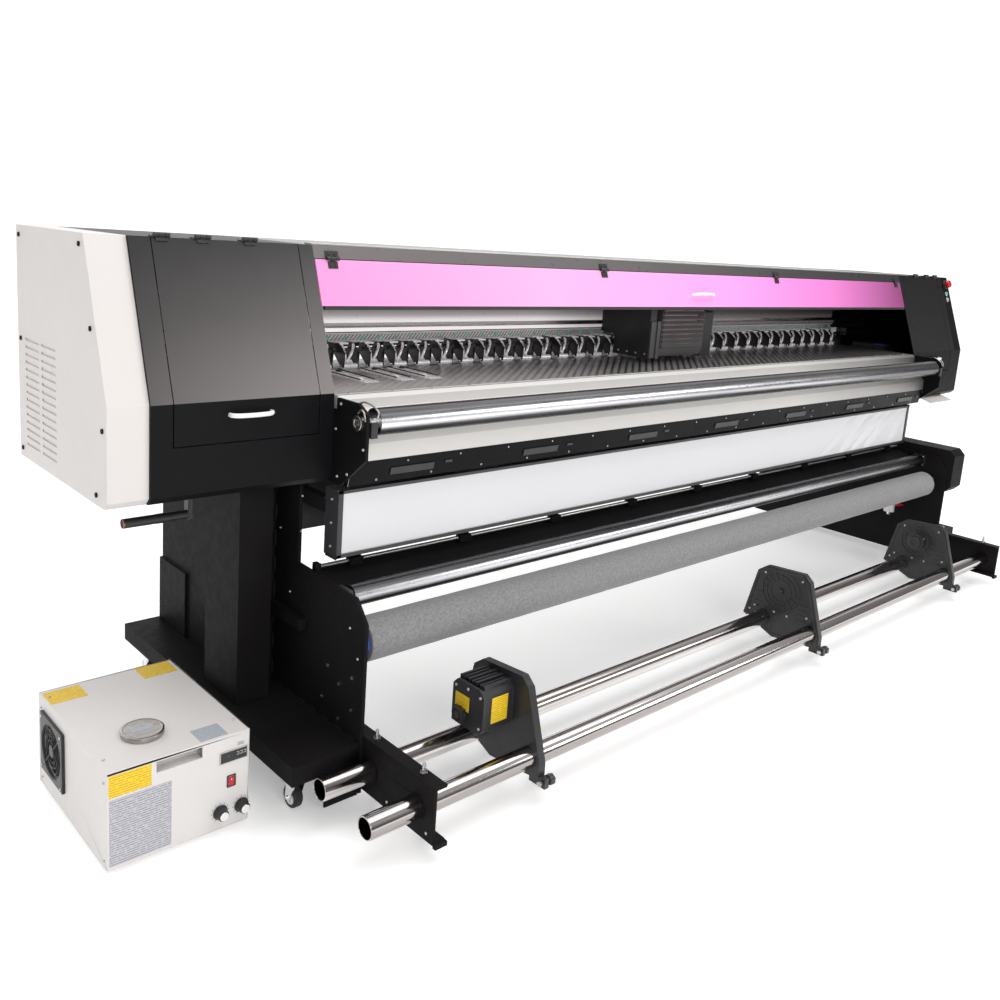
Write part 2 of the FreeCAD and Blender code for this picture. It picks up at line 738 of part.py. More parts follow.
def hinge_half(x, axis, angle, lift, reach, knuckles):
    """Knuckles on the axis and a leaf that lies lift away from it and reaches along local -Z."""
    half = knuckles[-1][1]
    near = lift - math.copysign(HINGE_LEAF, lift)
    pieces = [cyl_x(HINGE_R, low, high, 0, 0) for low, high in knuckles]
    pieces += [box(low, high, 0, lift, -HINGE_R - 2.5, 0) for low, high in knuckles]
    pieces.append(box(-half, half, near, lift, -reach, -HINGE_R - 1.5))
    shape = fuse(*pieces)
    if len(knuckles) == 1:
        shape = shape.cut(cyl_x(HINGE_PIN_R + RUN_FIT, -half - 1, half + 1, 0, 0))
    else:
        shape = fuse(shape, cyl_x(HINGE_PIN_R, -half, half, 0, 0))
    spin = FreeCAD.Rotation(FreeCAD.Vector(1, 0, 0), angle)
    return placed(shape, FreeCAD.Placement(FreeCAD.Vector(x, *axis), spin))


def door_hinge_x(side):
    return [side * (END_OUT - DOOR_OUTER - shift) for shift in DOOR_HINGES]


def fixed_hinges():
    solids = []
    for side in SIDES:
        for x in door_hinge_x(side):
            solids.append(hinge_half(x, DOOR_AXIS, 90, -HINGE_LIFT, 30, FIXED_KNUCKLES))
    for x in WINDOW_HINGES:
        solids.append(hinge_half(x, window_axis(), 180 - SLOPE_ANGLE, -HINGE_LIFT, 22, FIXED_KNUCKLES))
    return solids


def body_covers():
    """Top, header strip and rear cover between the two end housings."""
    width = OPEN_HALF
    top = box(-width, width, TOP_FRONT, HOUSING_BACK, TOP_Z - SHEET, TOP_Z)
    header = sloped_panel(TOP_Z - HEADER_DROP, TOP_Z, SHEET, -width, width)
    back = HOUSING_BACK - SHEET
    rear = box(-width, width, back, HOUSING_BACK, PLATEN_Z + MEDIA_SLOT, TOP_Z - SHEET)
    low = box(-width, width, back, HOUSING_BACK, HOUSING_Z, PLATEN_Z - PLATEN_H)
    trim = box(-width, width, TOP_FRONT + 6, TOP_FRONT + 40, TOP_Z, TOP_Z + 5)
    return fuse(top, header, rear), low, trim


WINDOW_TOP_Z = TOP_Z - HEADER_DROP - DOOR_GAP
WINDOW_LOW_Z = WINDOW_TOP_Z - WINDOW_DROP


def window():
    """Tinted window with a dark lower edge profile and a bow handle."""
    half = OPEN_HALF - WINDOW_SIDE
    panel = sloped_panel(WINDOW_LOW_Z, WINDOW_TOP_Z, WINDOW_SHEET, -half, half)
    edge = sloped_panel(WINDOW_LOW_Z - 10, WINDOW_LOW_Z, WINDOW_SHEET + 4, -half, half)
    z = WINDOW_LOW_Z + 42
    grip = placed(bow_handle(140, 24, 12), slope_frame(z, 0))
    hinges = []
    for x in WINDOW_HINGES:
        hinges.append(hinge_half(x, window_axis(), -SLOPE_ANGLE, HINGE_LIFT, 26, MOVING_KNUCKLES))
    return [panel, edge, grip] + hinges


# ---- take-up ---------------------------------------------------------------
def takeup_arm(side):
    """Channel that carries the two tubes in front of a leg."""
    outer = PLATE_OUT - PLATE
    web = outer - ARM_WEB
    inner = outer - ARM_FLANGE
    top = ARM_Z + ARM_H
    beam = box(side * inner, side * outer, ARM_FRONT, ARM_BACK, ARM_Z, top)
    hollow = box(side * (inner - 1), side * web, ARM_FRONT - 1, ARM_BACK + 1, ARM_Z + 8, top - 8)
    heel = box(side * inner, side * outer, ARM_FRONT - 12, ARM_FRONT, ARM_Z - 6, ARM_Z + 6)
    bores = []
    for y in (TUBE_REAR_Y, TUBE_FRONT_Y):
        bores.append(cyl_x(TUBE_R, side * (inner - 1), side * (outer + 1), y, TUBE_Z))
    return cut(fuse(beam.cut(hollow), heel), *bores)


def arm_screws(side):
    x = side * (PLATE_OUT - PLATE - ARM_FLANGE / 2)
    top = ARM_Z + ARM_H
    solids = []
    for y in (TUBE_REAR_Y, TUBE_FRONT_Y):
        bolt = cyl_z(5, top, top + 26, x, y)
        solids.append(fuse(bolt, cyl_z(9, top, top + 7, x, y)))
    return solids


def takeup_tube(y):
    tube = cyl_x(TUBE_R, TUBE_LEFT, TUBE_RIGHT, y, TUBE_Z)
    return tube.cut(cyl_x(TUBE_R - TUBE_WALL, TUBE_LEFT - 1, TUBE_RIGHT + 1, y, TUBE_Z))


def holder_plate(x):
    outline = [
        (-612, 104),
        (-655, 292),
        (-690, 318),
        (-848, 330),
        (-876, 306),
        (-938, 110),
        (-938, 72),
        (-900, 64),
        (-745, 48),
    ]
    plate = prism_x(outline, x - HOLDER_T / 2, x + HOLDER_T / 2)
    ear = box(x - 8, x + 8, KNOB_Y - 12, -900, KNOB_Z - 14, KNOB_Z + 14)
    body = fuse(plate, ear)
    for y in (TUBE_REAR_Y, TUBE_FRONT_Y):
        body = body.cut(cyl_x(TUBE_R + RUN_FIT, x - 40, x + 40, y, TUBE_Z))
    body = body.cut(cyl_x(CHUCK_SHAFT_R + RUN_FIT, x - 40, x + 40, CHUCK_Y, CHUCK_Z))
    return body.cut(cyl_x(4 + RUN_FIT, x - 40, x + 40, KNOB_Y, KNOB_Z))


def holder_motor(x):
    """Ribbed gear motor on the outer face of the driven holder."""
    face = x - HOLDER_T / 2
    core = box(face - 112, face, CHUCK_Y - 62, CHUCK_Y + 62, CHUCK_Z - 62, CHUCK_Z + 62)
    core = core.makeChamfer(14, [e for e in core.Edges if along_x(e)])
    ribs = []
    for n in range(4):
        y = CHUCK_Y - 48 + n * 30
        ribs.append(box(face - 100, face, y, y + 8, CHUCK_Z + 60, CHUCK_Z + 72))
    plug = box(face - 128, face - 112, CHUCK_Y + 5, CHUCK_Y + 45, CHUCK_Z - 50, CHUCK_Z - 10)
    body = fuse(core, plug, *ribs)
    pocket = cyl_x(CHUCK_SHAFT_R + 1, face - 12, face + 1, CHUCK_Y, CHUCK_Z)
    return body.cut(pocket)


def chuck(x, side):
    """Core chuck: shaft through the plate, flange and stepped cone."""
    face = x + side * HOLDER_T / 2
    shaft = cyl_x(CHUCK_SHAFT_R, x - side * (HOLDER_T / 2 + 8), face + side * 30, CHUCK_Y, CHUCK_Z)
    flange = cyl_x(CHUCK_R + 10, face + side * 1, face + side * 7, CHUCK_Y, CHUCK_Z)
    drum = cyl_x(CHUCK_R, face + side * 7, face + side * 42, CHUCK_Y, CHUCK_Z)
    nose = cyl_x(CHUCK_R - 10, face + side * 42, face + side * 56, CHUCK_Y, CHUCK_Z)
    return fuse(shaft, flange, drum, nose)


def clamp_knob(x):
    """Hand knob on the clamp stud below the front tube, and its stop nut."""
    stud = cyl_x(4, x - 16, x + 20, KNOB_Y, KNOB_Z)
    grip = cyl_x(16, x + 14, x + 34, KNOB_Y, KNOB_Z)
    nut = cyl_x(8, x - 20, x - 12, KNOB_Y, KNOB_Z)
    return fuse(stud, grip, nut)


# ---- feed group ------------------------------------------------------------
def roller_bearings():
    inner = PLATE_OUT - PLATE
    solids = []
    for side in SIDES:
        for y, z, size in ((IDLE_Y, IDLE_Z, 26), (FELT_Y, FELT_Z, 34)):
            block = box(side * (inner - BEARING), side * inner, y - size, y + size, z - size, z + size)
            bore = cyl_x(SPINDLE_R + RUN_FIT, side * (inner - BEARING - 1), side * (inner + 1), y, z)
            solids.append(block.cut(bore))
    return solids


def felt_roll():
    """Feed roll wrapped in grey felt on a plastic core with steel journals."""
    sleeve = cyl_x(FELT_R, -ROLL_HALF, ROLL_HALF, FELT_Y, FELT_Z)
    bore = cyl_x(CORE_R, -ROLL_HALF - 1, ROLL_HALF + 1, FELT_Y, FELT_Z)
    reach = PLATE_OUT - PLATE
    core = turned_roller(CORE_R, ROLL_HALF + 8, reach, FELT_Y, FELT_Z)
    return sleeve.cut(bore), core


def feed_guard():
    """Sloped guard sheet, media rail and rail clips between the leg plates."""
    reach = PLATE_OUT - PLATE
    sheet = prism_x([(-385, 560), (-484, 531), (-484, 528), (-385, 557)], -reach, reach)
    rail = cyl_x(GUARD_RAIL_R, -reach, reach, GUARD_RAIL_Y, GUARD_RAIL_Z)
    solids = [sheet, rail]
    for side in SIDES:
        block = box(side * (reach - 14), side * reach, GUARD_RAIL_Y - 12, GUARD_RAIL_Y + 12, 535, GUARD_RAIL_Z + 12)
        solids.append(cut(block, rail, sheet))
    pitch = 2 * (reach - 130) / (CLIP_COUNT - 1)
    for n in range(CLIP_COUNT):
        x = -reach + 130 + n * pitch
        clip = box(x - 22, x + 22, GUARD_RAIL_Y - 12, GUARD_RAIL_Y + 12, GUARD_RAIL_Z - 14, GUARD_RAIL_Z + 9)
        clip = clip.cut(rail)
        solids.append(clip.cut(prism_x([(-385, 560), (-484, 531), (-484, 500), (-385, 500)], -reach, reach)))
    return solids


def air_filter():
    """Small filter with a white bowl on the right plate's inner face."""
    face = PLATE_OUT - PLATE
    x = face - 48
    y = -430
    mount = box(face - 20, face, y - 22, y + 22, 315, 345)
    head = box(x - 26, face - 20, y - 22, y + 22, 312, 348)
    bowl = cyl_z(26, 235, 312, x, y)
    elbow = cyl_z(7, 215, 235, x, y)
    tee = box(x - 12, x + 12, y + 22, y + 44, 322, 340)
    return fuse(mount, head), bowl, elbow, tee


# ---- lift lever, switches --------------------------------------------------
def lever_brackets():
    solids = []
    for x in (LEVER_PIVOT, LEVER_PIVOT + LEVER_SPAN):
        block = box(x - 8, x + 8, LEVER_Y - 14, LEVER_Y + 14, LEVER_Z - 14, HOUSING_Z)
        solids.append(block.cut(cyl_x(8 + RUN_FIT, x - 10, x + 10, LEVER_Y, LEVER_Z)))
    return solids


def lift_lever():
    shaft = cyl_x(8, LEVER_PIVOT - 10, LEVER_PIVOT + LEVER_SPAN + 15, LEVER_Y, LEVER_Z)
    crank = box(LEVER_RIGHT - 12, LEVER_RIGHT, LEVER_Y - 11, LEVER_Y + 11, LEVER_Z - LEVER_DROP - 11, LEVER_Z + 11)
    grip = cyl_x(LEVER_R, LEVER_LEFT, LEVER_RIGHT, LEVER_Y, LEVER_Z - LEVER_DROP)
    return fuse(shaft, crank, grip)


SWITCH_X = END_OUT + SHELL_WIDTH / 2
ESTOP_Z = TOP_Z - 40.0
BUTTON_Z = (TOP_Z - 86.0, TOP_Z - 116.0)


SWITCH_SEAT = 0.4         # the switches stand this far off the shell's face


def shell_slope(z):
    """Point on the shell's sloped band at height z."""
    return slope_frame(z, SWITCH_X, SWITCH_SEAT - SHELL_INSET)


def estop_base():
    ring = cyl_y(24, -12, 0, 0, 0).cut(cyl_y(11 + RUN_FIT, -13, 1, 0, 0))
    return placed(ring, shell_slope(ESTOP_Z))


def estop_head():
    cap = fuse(cyl_y(20, -34, -18, 0, 0), cyl_y(11, -18, -6, 0, 0))
    return placed(cap, shell_slope(ESTOP_Z))


def button_base(z):
    ring = cyl_y(13, -6, 0, 0, 0).cut(cyl_y(8 + RUN_FIT, -7, 1, 0, 0))
    return placed(ring, shell_slope(z))


def button_head(z):
    return placed(cyl_y(8, -9, -4, 0, 0), shell_slope(z))


# ---- water cooler ----------------------------------------------------------
COOLER_RIGHT = COOLER_LEFT + COOLER_W
COOLER_BACK = COOLER_FRONT + COOLER_D
CAP_X = COOLER_LEFT + 130
CAP_Y = COOLER_FRONT + 122
COOLER_KNOBS = ((COOLER_LEFT + 272.0, 58.0), (COOLER_LEFT + 328.0, 58.0))
COOLER_SWITCH = (COOLER_LEFT + 300.0, 133.0)
GRIP_LEFT = COOLER_LEFT + 113.0
GRIP_W = 112.0
GRIP_CUP = 4.0            # wall of the recessed grip
ROCKER_PIN_R = 1.5
ROCKER_IN = 2.5           # pivot of the rocker behind the front panel


def cooler_case():
    outer = box(COOLER_LEFT, COOLER_RIGHT, COOLER_FRONT, COOLER_BACK, COOLER_FOOT, COOLER_TOP)
    wall = COOLER_WALL
    inner = box(
        COOLER_LEFT + wall, COOLER_RIGHT - wall, COOLER_FRONT + wall, COOLER_BACK - wall,
        COOLER_FOOT + wall, COOLER_TOP - wall
    )
    case = outer.cut(inner)
    opening = cyl_x(FAN_R, COOLER_LEFT - 1, COOLER_LEFT + wall + 1, FAN_Y, FAN_Z - 18)
    neck = cyl_z(30, COOLER_TOP - wall - 1, COOLER_TOP + 1, CAP_X, CAP_Y)
    right = GRIP_LEFT + GRIP_W
    grip = box(GRIP_LEFT, right, COOLER_FRONT - 1, COOLER_FRONT + wall + 1, COOLER_TOP - 38, COOLER_TOP - 10)
    case = cut(case, opening, neck, grip)
    for x, z in COOLER_KNOBS:
        case = case.cut(cyl_y(3 + RUN_FIT, COOLER_FRONT - 1, COOLER_FRONT + 10, x, z))
    x, z = COOLER_SWITCH
    return case.cut(box(x - 11, x + 11, COOLER_FRONT - 1, COOLER_FRONT + wall + 1, z - 15, z + 15))


def cooler_grip_cup():
    """Recessed carry handle behind the front panel."""
    y = COOLER_FRONT + COOLER_WALL
    right = GRIP_LEFT + GRIP_W
    cup = box(GRIP_LEFT - GRIP_CUP, right + GRIP_CUP, y, y + 32, COOLER_TOP - 42, COOLER_TOP - 6)
    return cup.cut(box(GRIP_LEFT, right, y - 1, y + 29, COOLER_TOP - 38, COOLER_TOP - 10))


def cooler_feet():
    feet = []
    for x in (COOLER_LEFT + 40, COOLER_RIGHT - 40):
        for y in (COOLER_FRONT + 40, COOLER_BACK - 40):
            feet.append(cyl_z(13, 0, COOLER_FOOT, x, y))
    return feet


def cooler_fan_frame():
    """Square frame with a wire guard outside the case wall and the motor spider inside."""
    z = FAN_Z - 18
    x = COOLER_LEFT
    half = FAN_FRAME
    frame = box(x - 8, x, FAN_Y - half, FAN_Y + half, z - half, z + half)
    frame = frame.cut(cyl_x(FAN_R, x - 9, x + 1, FAN_Y, z))
    bars = []
    for n in range(-3, 4):
        bars.append(box(x - 7, x - 4, FAN_Y - FAN_R - 4, FAN_Y + FAN_R + 4, z + n * 19 - 1.5, z + n * 19 + 1.5))
    bars.append(box(x - 7, x - 4, FAN_Y - 2, FAN_Y + 2, z - FAN_R - 4, z + FAN_R + 4))
    guard = fuse(frame, *bars)
    inside = x + COOLER_WALL
    spider = fuse(
        box(inside + 34, inside + 40, FAN_Y - 6, FAN_Y + 6, z - half, z + half),
        cyl_x(24, inside + 34, inside + 44, FAN_Y, z),
        box(inside, inside + 40, FAN_Y - 6, FAN_Y + 6, z + half - 6, z + half),
        box(inside, inside + 40, FAN_Y - 6, FAN_Y + 6, z - half, z - half + 6),
    )
    pin = cyl_x(4, inside + 10, inside + 34, FAN_Y, z)
    return guard, fuse(spider, pin)


def cooler_fan():
    z = FAN_Z - 18
    inside = COOLER_LEFT + COOLER_WALL
    hub = cyl_x(20, inside + 4, inside + 28, FAN_Y, z)
    blades = []
    for n in range(7):
        blade = box(inside + 8, inside + 11, FAN_Y - 11, FAN_Y + 11, z + 16, z + FAN_R - 6)
        blade.rotate(FreeCAD.Vector(inside + 10, FAN_Y, z + 30), FreeCAD.Vector(0, 0, 1), 35)
        blade.rotate(FreeCAD.Vector(0, FAN_Y, z), FreeCAD.Vector(1, 0, 0), n * 360 / 7)
        blades.append(blade)
    return fuse(hub, *blades).cut(cyl_x(4 + RUN_FIT, inside - 1, inside + 40, FAN_Y, z))


def cooler_neck():
    ring = cyl_z(30, COOLER_TOP - COOLER_WALL, COOLER_TOP + 6, CAP_X, CAP_Y)
    return ring.cut(cyl_z(26, COOLER_TOP - 10, COOLER_TOP + 7, CAP_X, CAP_Y))


def cooler_cap():
    cap = cyl_z(50, COOLER_TOP + 0.3, COOLER_TOP + 14, CAP_X, CAP_Y)
    cap = cap.makeFillet(3, [e for e in cap.Edges if e.BoundBox.ZMin > COOLER_TOP + 13])
    return cap.cut(cyl_z(30 + RUN_FIT, COOLER_TOP - 1, COOLER_TOP + 6.3, CAP_X, CAP_Y))


def cooler_knob(x, z):
    y = COOLER_FRONT
    stem = cyl_y(3, y - 2, y + 9, x, z)
    return fuse(cyl_y(19, y - 12, y - 1, x, z), cyl_y(12, y - 26, y - 12, x, z), stem)


def cooler_display():
    x = COOLER_LEFT + 305
    return box(x - 36, x + 36, COOLER_FRONT - 3, COOLER_FRONT, 185, 215)


def cooler_rocker():
    """Rocker on its pivot pin, tilted so that its upper end stands out."""
    x, z = COOLER_SWITCH
    y = COOLER_FRONT
    outline = [(y + 2.5, z - 11), (y - 2, z - 12), (y - 1, z), (y - 4, z + 11), (y + 2.5, z + 11)]
    pin = cyl_x(ROCKER_PIN_R, x - 10, x + 10, y + ROCKER_IN, z)
    return fuse(prism_x(outline, x - 8, x + 8), pin)


def cooler_rocker_frame():
    x, z = COOLER_SWITCH
    y = COOLER_FRONT
    frame = box(x - 11, x + 11, y - 2, y + 10, z - 15, z + 15)
    frame = frame.cut(box(x - 8.4, x + 8.4, y - 3, y + 7, z - 13, z + 13))
    return frame.cut(cyl_x(ROCKER_PIN_R + RUN_FIT, x - 10.1, x + 10.1, y + ROCKER_IN, z))


# ---- screws ----------------------------------------------------------------
def shell_screws(side):
    solids = []
    face = side * SHELL_OUT
    places = [
        (HOUSING_BACK - 25, TOP_Z - 25), (HOUSING_BACK - 25, 1134), (HOUSING_BACK - 25, HOUSING_Z + 25),
        (slope_y(TOP_Z - 25) + 40, TOP_Z - 25), (slope_y(1218) + 40, 1218),
        (slope_y(995) + 32, 995), (BEND_FRONT + 70, HOUSING_Z + 25),
    ]
    for y, z in places:
        solids.append(cyl_x(6, face, face + side * 3, y, z))
    return solids


def plate_screws(side):
    solids = []
    face = side * PLATE_OUT
    for y, z in ((-505, 330), (-560, 300), (-480, 230), (-560, 200), (-620, 340), (-620, 250)):
        solids.append(cyl_x(5, face, face + side * 3, y, z))
    return solids


# ---- write every node ------------------------------------------------------
save("leg_plates", *[leg_plate(s) for s in SIDES])
save("leg_boxes", *[leg_boxes(s) for s in SIDES], plate_bar(), drive_cover())
save("foot_boxes", *[piece for s in SIDES for piece in foot(s)],
     *[caster_top(caster_x(s), y) for s in SIDES for y in (CASTER_FRONT_Y, CASTER_REAR_Y)],
     *[caster_fork(caster_x(s), CASTER_REAR_Y) for s in SIDES])
for s, name in ((-1, "left"), (1, "right")):
    save("caster_fork_front_" + name, caster_fork(caster_x(s), CASTER_FRONT_Y))
    save("caster_wheel_front_" + name, caster_wheel(caster_x(s), CASTER_FRONT_Y))
    save("caster_wheel_rear_" + name, caster_wheel(caster_x(s), CASTER_REAR_Y))
save("cross_beam", *cross_beam())
save("platen", *platen())
save("grit_roller", grit_roller())
save("front_apron", apron(), channel())
save("end_brackets", *[piece for s in SIDES for piece in end_bracket(s)])
save("pressure_roller", turned_roller(PRESS_R, PRESS_HALF, OPEN_HALF + 8, PRESS_Y, PRESS_Z))
save("light_box_frame", *light_box_frame())
save("light_box_film", light_box_film())
save("upper_beam", *upper_beam())
save("pinch_arms", *pinch_arms())
save("pinch_rollers", *pinch_rollers())
save("carriage", *carriage())
for n, x in enumerate(CLAMP_X):
    save("media_clamp_" + str(n + 1), media_clamp(x))
save("cap_station", *cap_station(), waste_flap())
for s, name in ((-1, "left"), (1, "right")):
    save("shell_" + name, shell(s))
    save("door_" + name, *door(s))
save("head_frames", *[head_frame(s) for s in SIDES])
save("body_covers", *body_covers())
save("window", *window())
save("takeup_arms", *[takeup_arm(s) for s in SIDES])
save("takeup_tubes", *[takeup_tube(y) for y in (TUBE_REAR_Y, TUBE_FRONT_Y)])
for (n, x), s in zip(enumerate(HOLDER_X), (1, 1, -1)):
    pieces = [holder_plate(x)]
    if n == 0:
        pieces.append(holder_motor(x))
    save("holder_" + str(n + 1), *pieces)
    save("chuck_" + str(n + 1), chuck(x, s))
    save("clamp_knob_" + str(n + 1), clamp_knob(x))
save("roller_bearings", *roller_bearings())
save("idle_roller", turned_roller(IDLE_R, ROLL_HALF + 8, PLATE_OUT - PLATE, IDLE_Y, IDLE_Z))
save("felt_roll", *felt_roll())
save("feed_guard", *feed_guard())
save("air_filter", *air_filter())
save("lift_lever", lift_lever())
save("fixed_hinges", *lever_brackets(), *fixed_hinges())
save("estop", estop_head())
save("start_button", button_head(BUTTON_Z[0]))
save("switch_panel", estop_base(), button_base(BUTTON_Z[0]), button_head(BUTTON_Z[1]), button_base(BUTTON_Z[1]))
save("screws", *[b for s in SIDES for b in shell_screws(s) + plate_screws(s) + arm_screws(s)])
save("cooler_case", cooler_case(), cooler_grip_cup(), *cooler_feet(), *cooler_fan_frame(), cooler_neck(),
     cooler_display(), cooler_rocker_frame())
save("cooler_fan", cooler_fan())
save("cooler_cap", cooler_cap())
save("cooler_switch", cooler_rocker())
for n, (x, z) in enumerate(COOLER_KNOBS):
    save("cooler_knob_" + str(n + 1), cooler_knob(x, z))
print(len(os.listdir("parts")), "nodes")
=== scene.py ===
import bpy
import bmesh
import math
from mathutils import Matrix, Vector


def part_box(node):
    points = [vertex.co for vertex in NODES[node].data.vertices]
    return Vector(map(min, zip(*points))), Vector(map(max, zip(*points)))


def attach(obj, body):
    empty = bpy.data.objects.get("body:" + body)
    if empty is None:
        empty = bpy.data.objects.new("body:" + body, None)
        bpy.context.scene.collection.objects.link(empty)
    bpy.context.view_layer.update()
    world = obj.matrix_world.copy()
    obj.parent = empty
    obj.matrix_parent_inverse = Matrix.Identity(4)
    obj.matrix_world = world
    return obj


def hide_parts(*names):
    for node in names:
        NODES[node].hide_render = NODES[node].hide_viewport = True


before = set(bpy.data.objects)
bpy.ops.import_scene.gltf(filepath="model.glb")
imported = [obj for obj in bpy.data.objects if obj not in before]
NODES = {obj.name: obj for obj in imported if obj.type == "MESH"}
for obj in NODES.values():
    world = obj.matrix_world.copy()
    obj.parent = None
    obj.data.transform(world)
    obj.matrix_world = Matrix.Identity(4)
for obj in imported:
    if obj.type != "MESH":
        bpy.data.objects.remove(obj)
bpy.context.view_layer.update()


def mm(node):
    """A CAD node's box in millimetres: x0, y0, z0, x1, y1, z1."""
    low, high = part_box(node)
    return [v * 1000 for v in (*low, *high)]


def centre(node):
    """The middle of a CAD node's box, in millimetres."""
    x0, y0, z0, x1, y1, z1 = mm(node)
    return (x0 + x1) / 2, (y0 + y1) / 2, (z0 + z1) / 2


def roller_axis(node):
    """Depth and height of a roller's axis, in millimetres."""
    return [round(v, 1) for v in centre(node)[1:]]


# ---- camera ----------------------------------------------------------------
SENSOR = 36        # millimetres
FOCAL = 0.95781    # focal length in picture widths


def make_camera():
    """Camera at the place and with the lens that the picture was taken with."""
    yaw, pitch, roll = (math.radians(a) for a in (43.1994, 10.7476, 4.1221))
    fwd = Vector((math.sin(yaw) * math.cos(pitch), math.cos(yaw) * math.cos(pitch), -math.sin(pitch)))
    right = Vector((math.cos(yaw), -math.sin(yaw), 0))
    up = right.cross(fwd)
    x = math.cos(roll) * right + math.sin(roll) * up
    y = -math.sin(roll) * right + math.cos(roll) * up
    turn = Matrix((x, y, -fwd)).transposed().to_4x4()
    data = bpy.data.cameras.new("camera")
    data.sensor_width = SENSOR
    data.lens = SENSOR * FOCAL
    data.shift_y = -0.08423
    data.clip_start = 0.05
    data.clip_end = 200
    cam = bpy.data.objects.new("camera", data)
    cam.matrix_world = Matrix.Translation((-3.0714, -2.5241, 1.4925)) @ turn
    bpy.context.scene.collection.objects.link(cam)
    bpy.context.scene.camera = cam


# ---- materials -------------------------------------------------------------
MIX_A, MIX_B, MIX_OUT = 6, 7, 2     # the colour sockets of a mix node


def add_node(tree, kind, inputs, **settings):
    """Adds a node, fed by values or by other nodes' outputs, and returns its outputs."""
    made = tree.nodes.new("ShaderNode" + kind)
    for key, value in settings.items():
        setattr(made, key, value)
    for key, value in inputs.items():
        if isinstance(value, bpy.types.NodeSocket):
            tree.links.new(value, made.inputs[key])
        else:
            made.inputs[key].default_value = value
    return made.outputs


class Paint:
    """A Principled material whose colour, roughness and bump come from noise in the row frame."""

    def __init__(self, name, rgb, rgb2=None, rough=(0.4, 0.5), metal=0.0, scale=3.0, stretch=(1, 1, 1),
                 grain=0.0, grain_scale=700.0, contrast=(0.3, 0.7), **sockets):
        self.material = bpy.data.materials.new(name)
        self.material.use_nodes = True
        self.tree = self.material.node_tree
        self.shader = self.tree.nodes["Principled BSDF"]
        self.where = self.node("TexCoord", {})["Object"]
        self.shader.inputs["Metallic"].default_value = metal
        for key, value in sockets.items():
            self.shader.inputs[key.replace("_", " ")].default_value = value
        broad = self.noise(scale, stretch, 4)
        rgb2 = rgb2 or tuple(c * 0.86 for c in rgb)
        self.feed("Base Color", self.ramp(broad, (contrast[0], rgb2), (contrast[1], rgb)))
        fine = self.noise(scale * 9, stretch, 6)
        self.feed("Roughness", self.span(fine, *rough))
        if grain:
            self.bump(self.noise(grain_scale, stretch, 3), grain, 0.0004)

    def node(self, kind, inputs, **settings):
        return add_node(self.tree, kind, inputs, **settings)

    def feed(self, socket, output):
        self.tree.links.new(output, self.shader.inputs[socket])

    def noise(self, scale, stretch=(1, 1, 1), detail=4):
        place = self.node("VectorMath", {0: self.where, 1: stretch}, operation="MULTIPLY")[0]
        return self.node("TexNoise", {"Scale": scale, "Detail": detail, "Vector": place})["Fac"]

    def wave(self, axis, pitch):
        """Stripes across one direction, one every pitch metres, as 0..1."""
        dot = self.node("VectorMath", {0: self.where, 1: axis}, operation="DOT_PRODUCT")["Value"]
        return self.times(self.node("Math", {0: dot, 1: pitch / 2}, operation="PINGPONG")[0], 2 / pitch)

    def times(self, a, b):
        return self.node("Math", {0: a, 1: b}, operation="MULTIPLY")[0]

    def product(self, a, b):
        return self.node("Mix", {"Factor": 1.0, MIX_A: a, MIX_B: b}, data_type="RGBA",
                         blend_type="MULTIPLY")[MIX_OUT]

    def ramp(self, level, *stops):
        """Colour that follows a level; a stop is a level and a colour or a grey."""
        made = self.tree.nodes.new("ShaderNodeValToRGB")
        marks = made.color_ramp.elements
        marks[0].position, marks[1].position = stops[0][0], stops[-1][0]
        for n, (place, rgb) in enumerate(stops):
            mark = marks.new(place) if 0 < n < len(stops) - 1 else marks[-1 if n else 0]
            mark.color = (*(rgb if isinstance(rgb, tuple) else (rgb,) * 3), 1)
        self.tree.links.new(level, made.inputs[0])
        return made.outputs[0]

    def fade(self, axis, *stops):
        """Colour that changes along one axis; a stop is a place in metres and a colour or a grey."""
        first, last = stops[0][0], stops[-1][0]
        place = self.node("SeparateXYZ", {0: self.where})[axis]
        along = self.node("MapRange", {"From Min": first, "From Max": last, "Value": place})[0]
        return self.ramp(along, *(((at - first) / (last - first), rgb) for at, rgb in stops))

    def span(self, level, low, high):
        return self.node("MapRange", {"From Min": 0.3, "From Max": 0.7, "To Min": low, "To Max": high,
                                      "Value": level})[0]

    def bump(self, level, strength, distance):
        self.feed("Normal", self.node("Bump", {"Strength": strength, "Distance": distance,
                                               "Height": level})[0])

    def colour(self, output, glow=0):
        """Sets the colour, and how brightly the same colour shines."""
        self.feed("Base Color", output)
        if glow:
            self.feed("Emission Color", output)
            self.shader.inputs["Emission Strength"].default_value = glow


def slatted_platen():
    """Metal bed with slanting grooves, with painted light at its left end and painted shade to the right."""
    paint = Paint("platen_bed_painted_light", (0.30, 0.29, 0.28), rough=(0.28, 0.42), metal=0.55, scale=1.2)
    # Painted light: the bed is lightest at its left end and falls into painted shade towards the right.
    light = paint.fade("X", (-1.7, (0.74, 0.71, 0.69)), (-1.1, (0.55, 0.53, 0.52)),
                       (0.0, (0.28, 0.27, 0.265)),
                       (1.7, (0.17, 0.165, 0.16)))
    stripe = paint.wave((-0.81, 1, 0), 0.031)
    # The grooves are painted fainter towards the left end, where the painted light is strongest.
    depth = paint.times(paint.ramp(stripe, (0.30, 1), (0.50, 0)),
                        paint.fade("X", (-1.7, 0.05), (-1.2, 0.25), (-0.3, 0.9), (1.7, 1)))
    groove = (0.02, 0.019, 0.019, 1)
    paint.colour(paint.node("Mix", {"Factor": depth, MIX_A: light, MIX_B: groove},
                            data_type="RGBA")[MIX_OUT])
    paint.bump(stripe, 0.25, 0.001)
    return paint.material


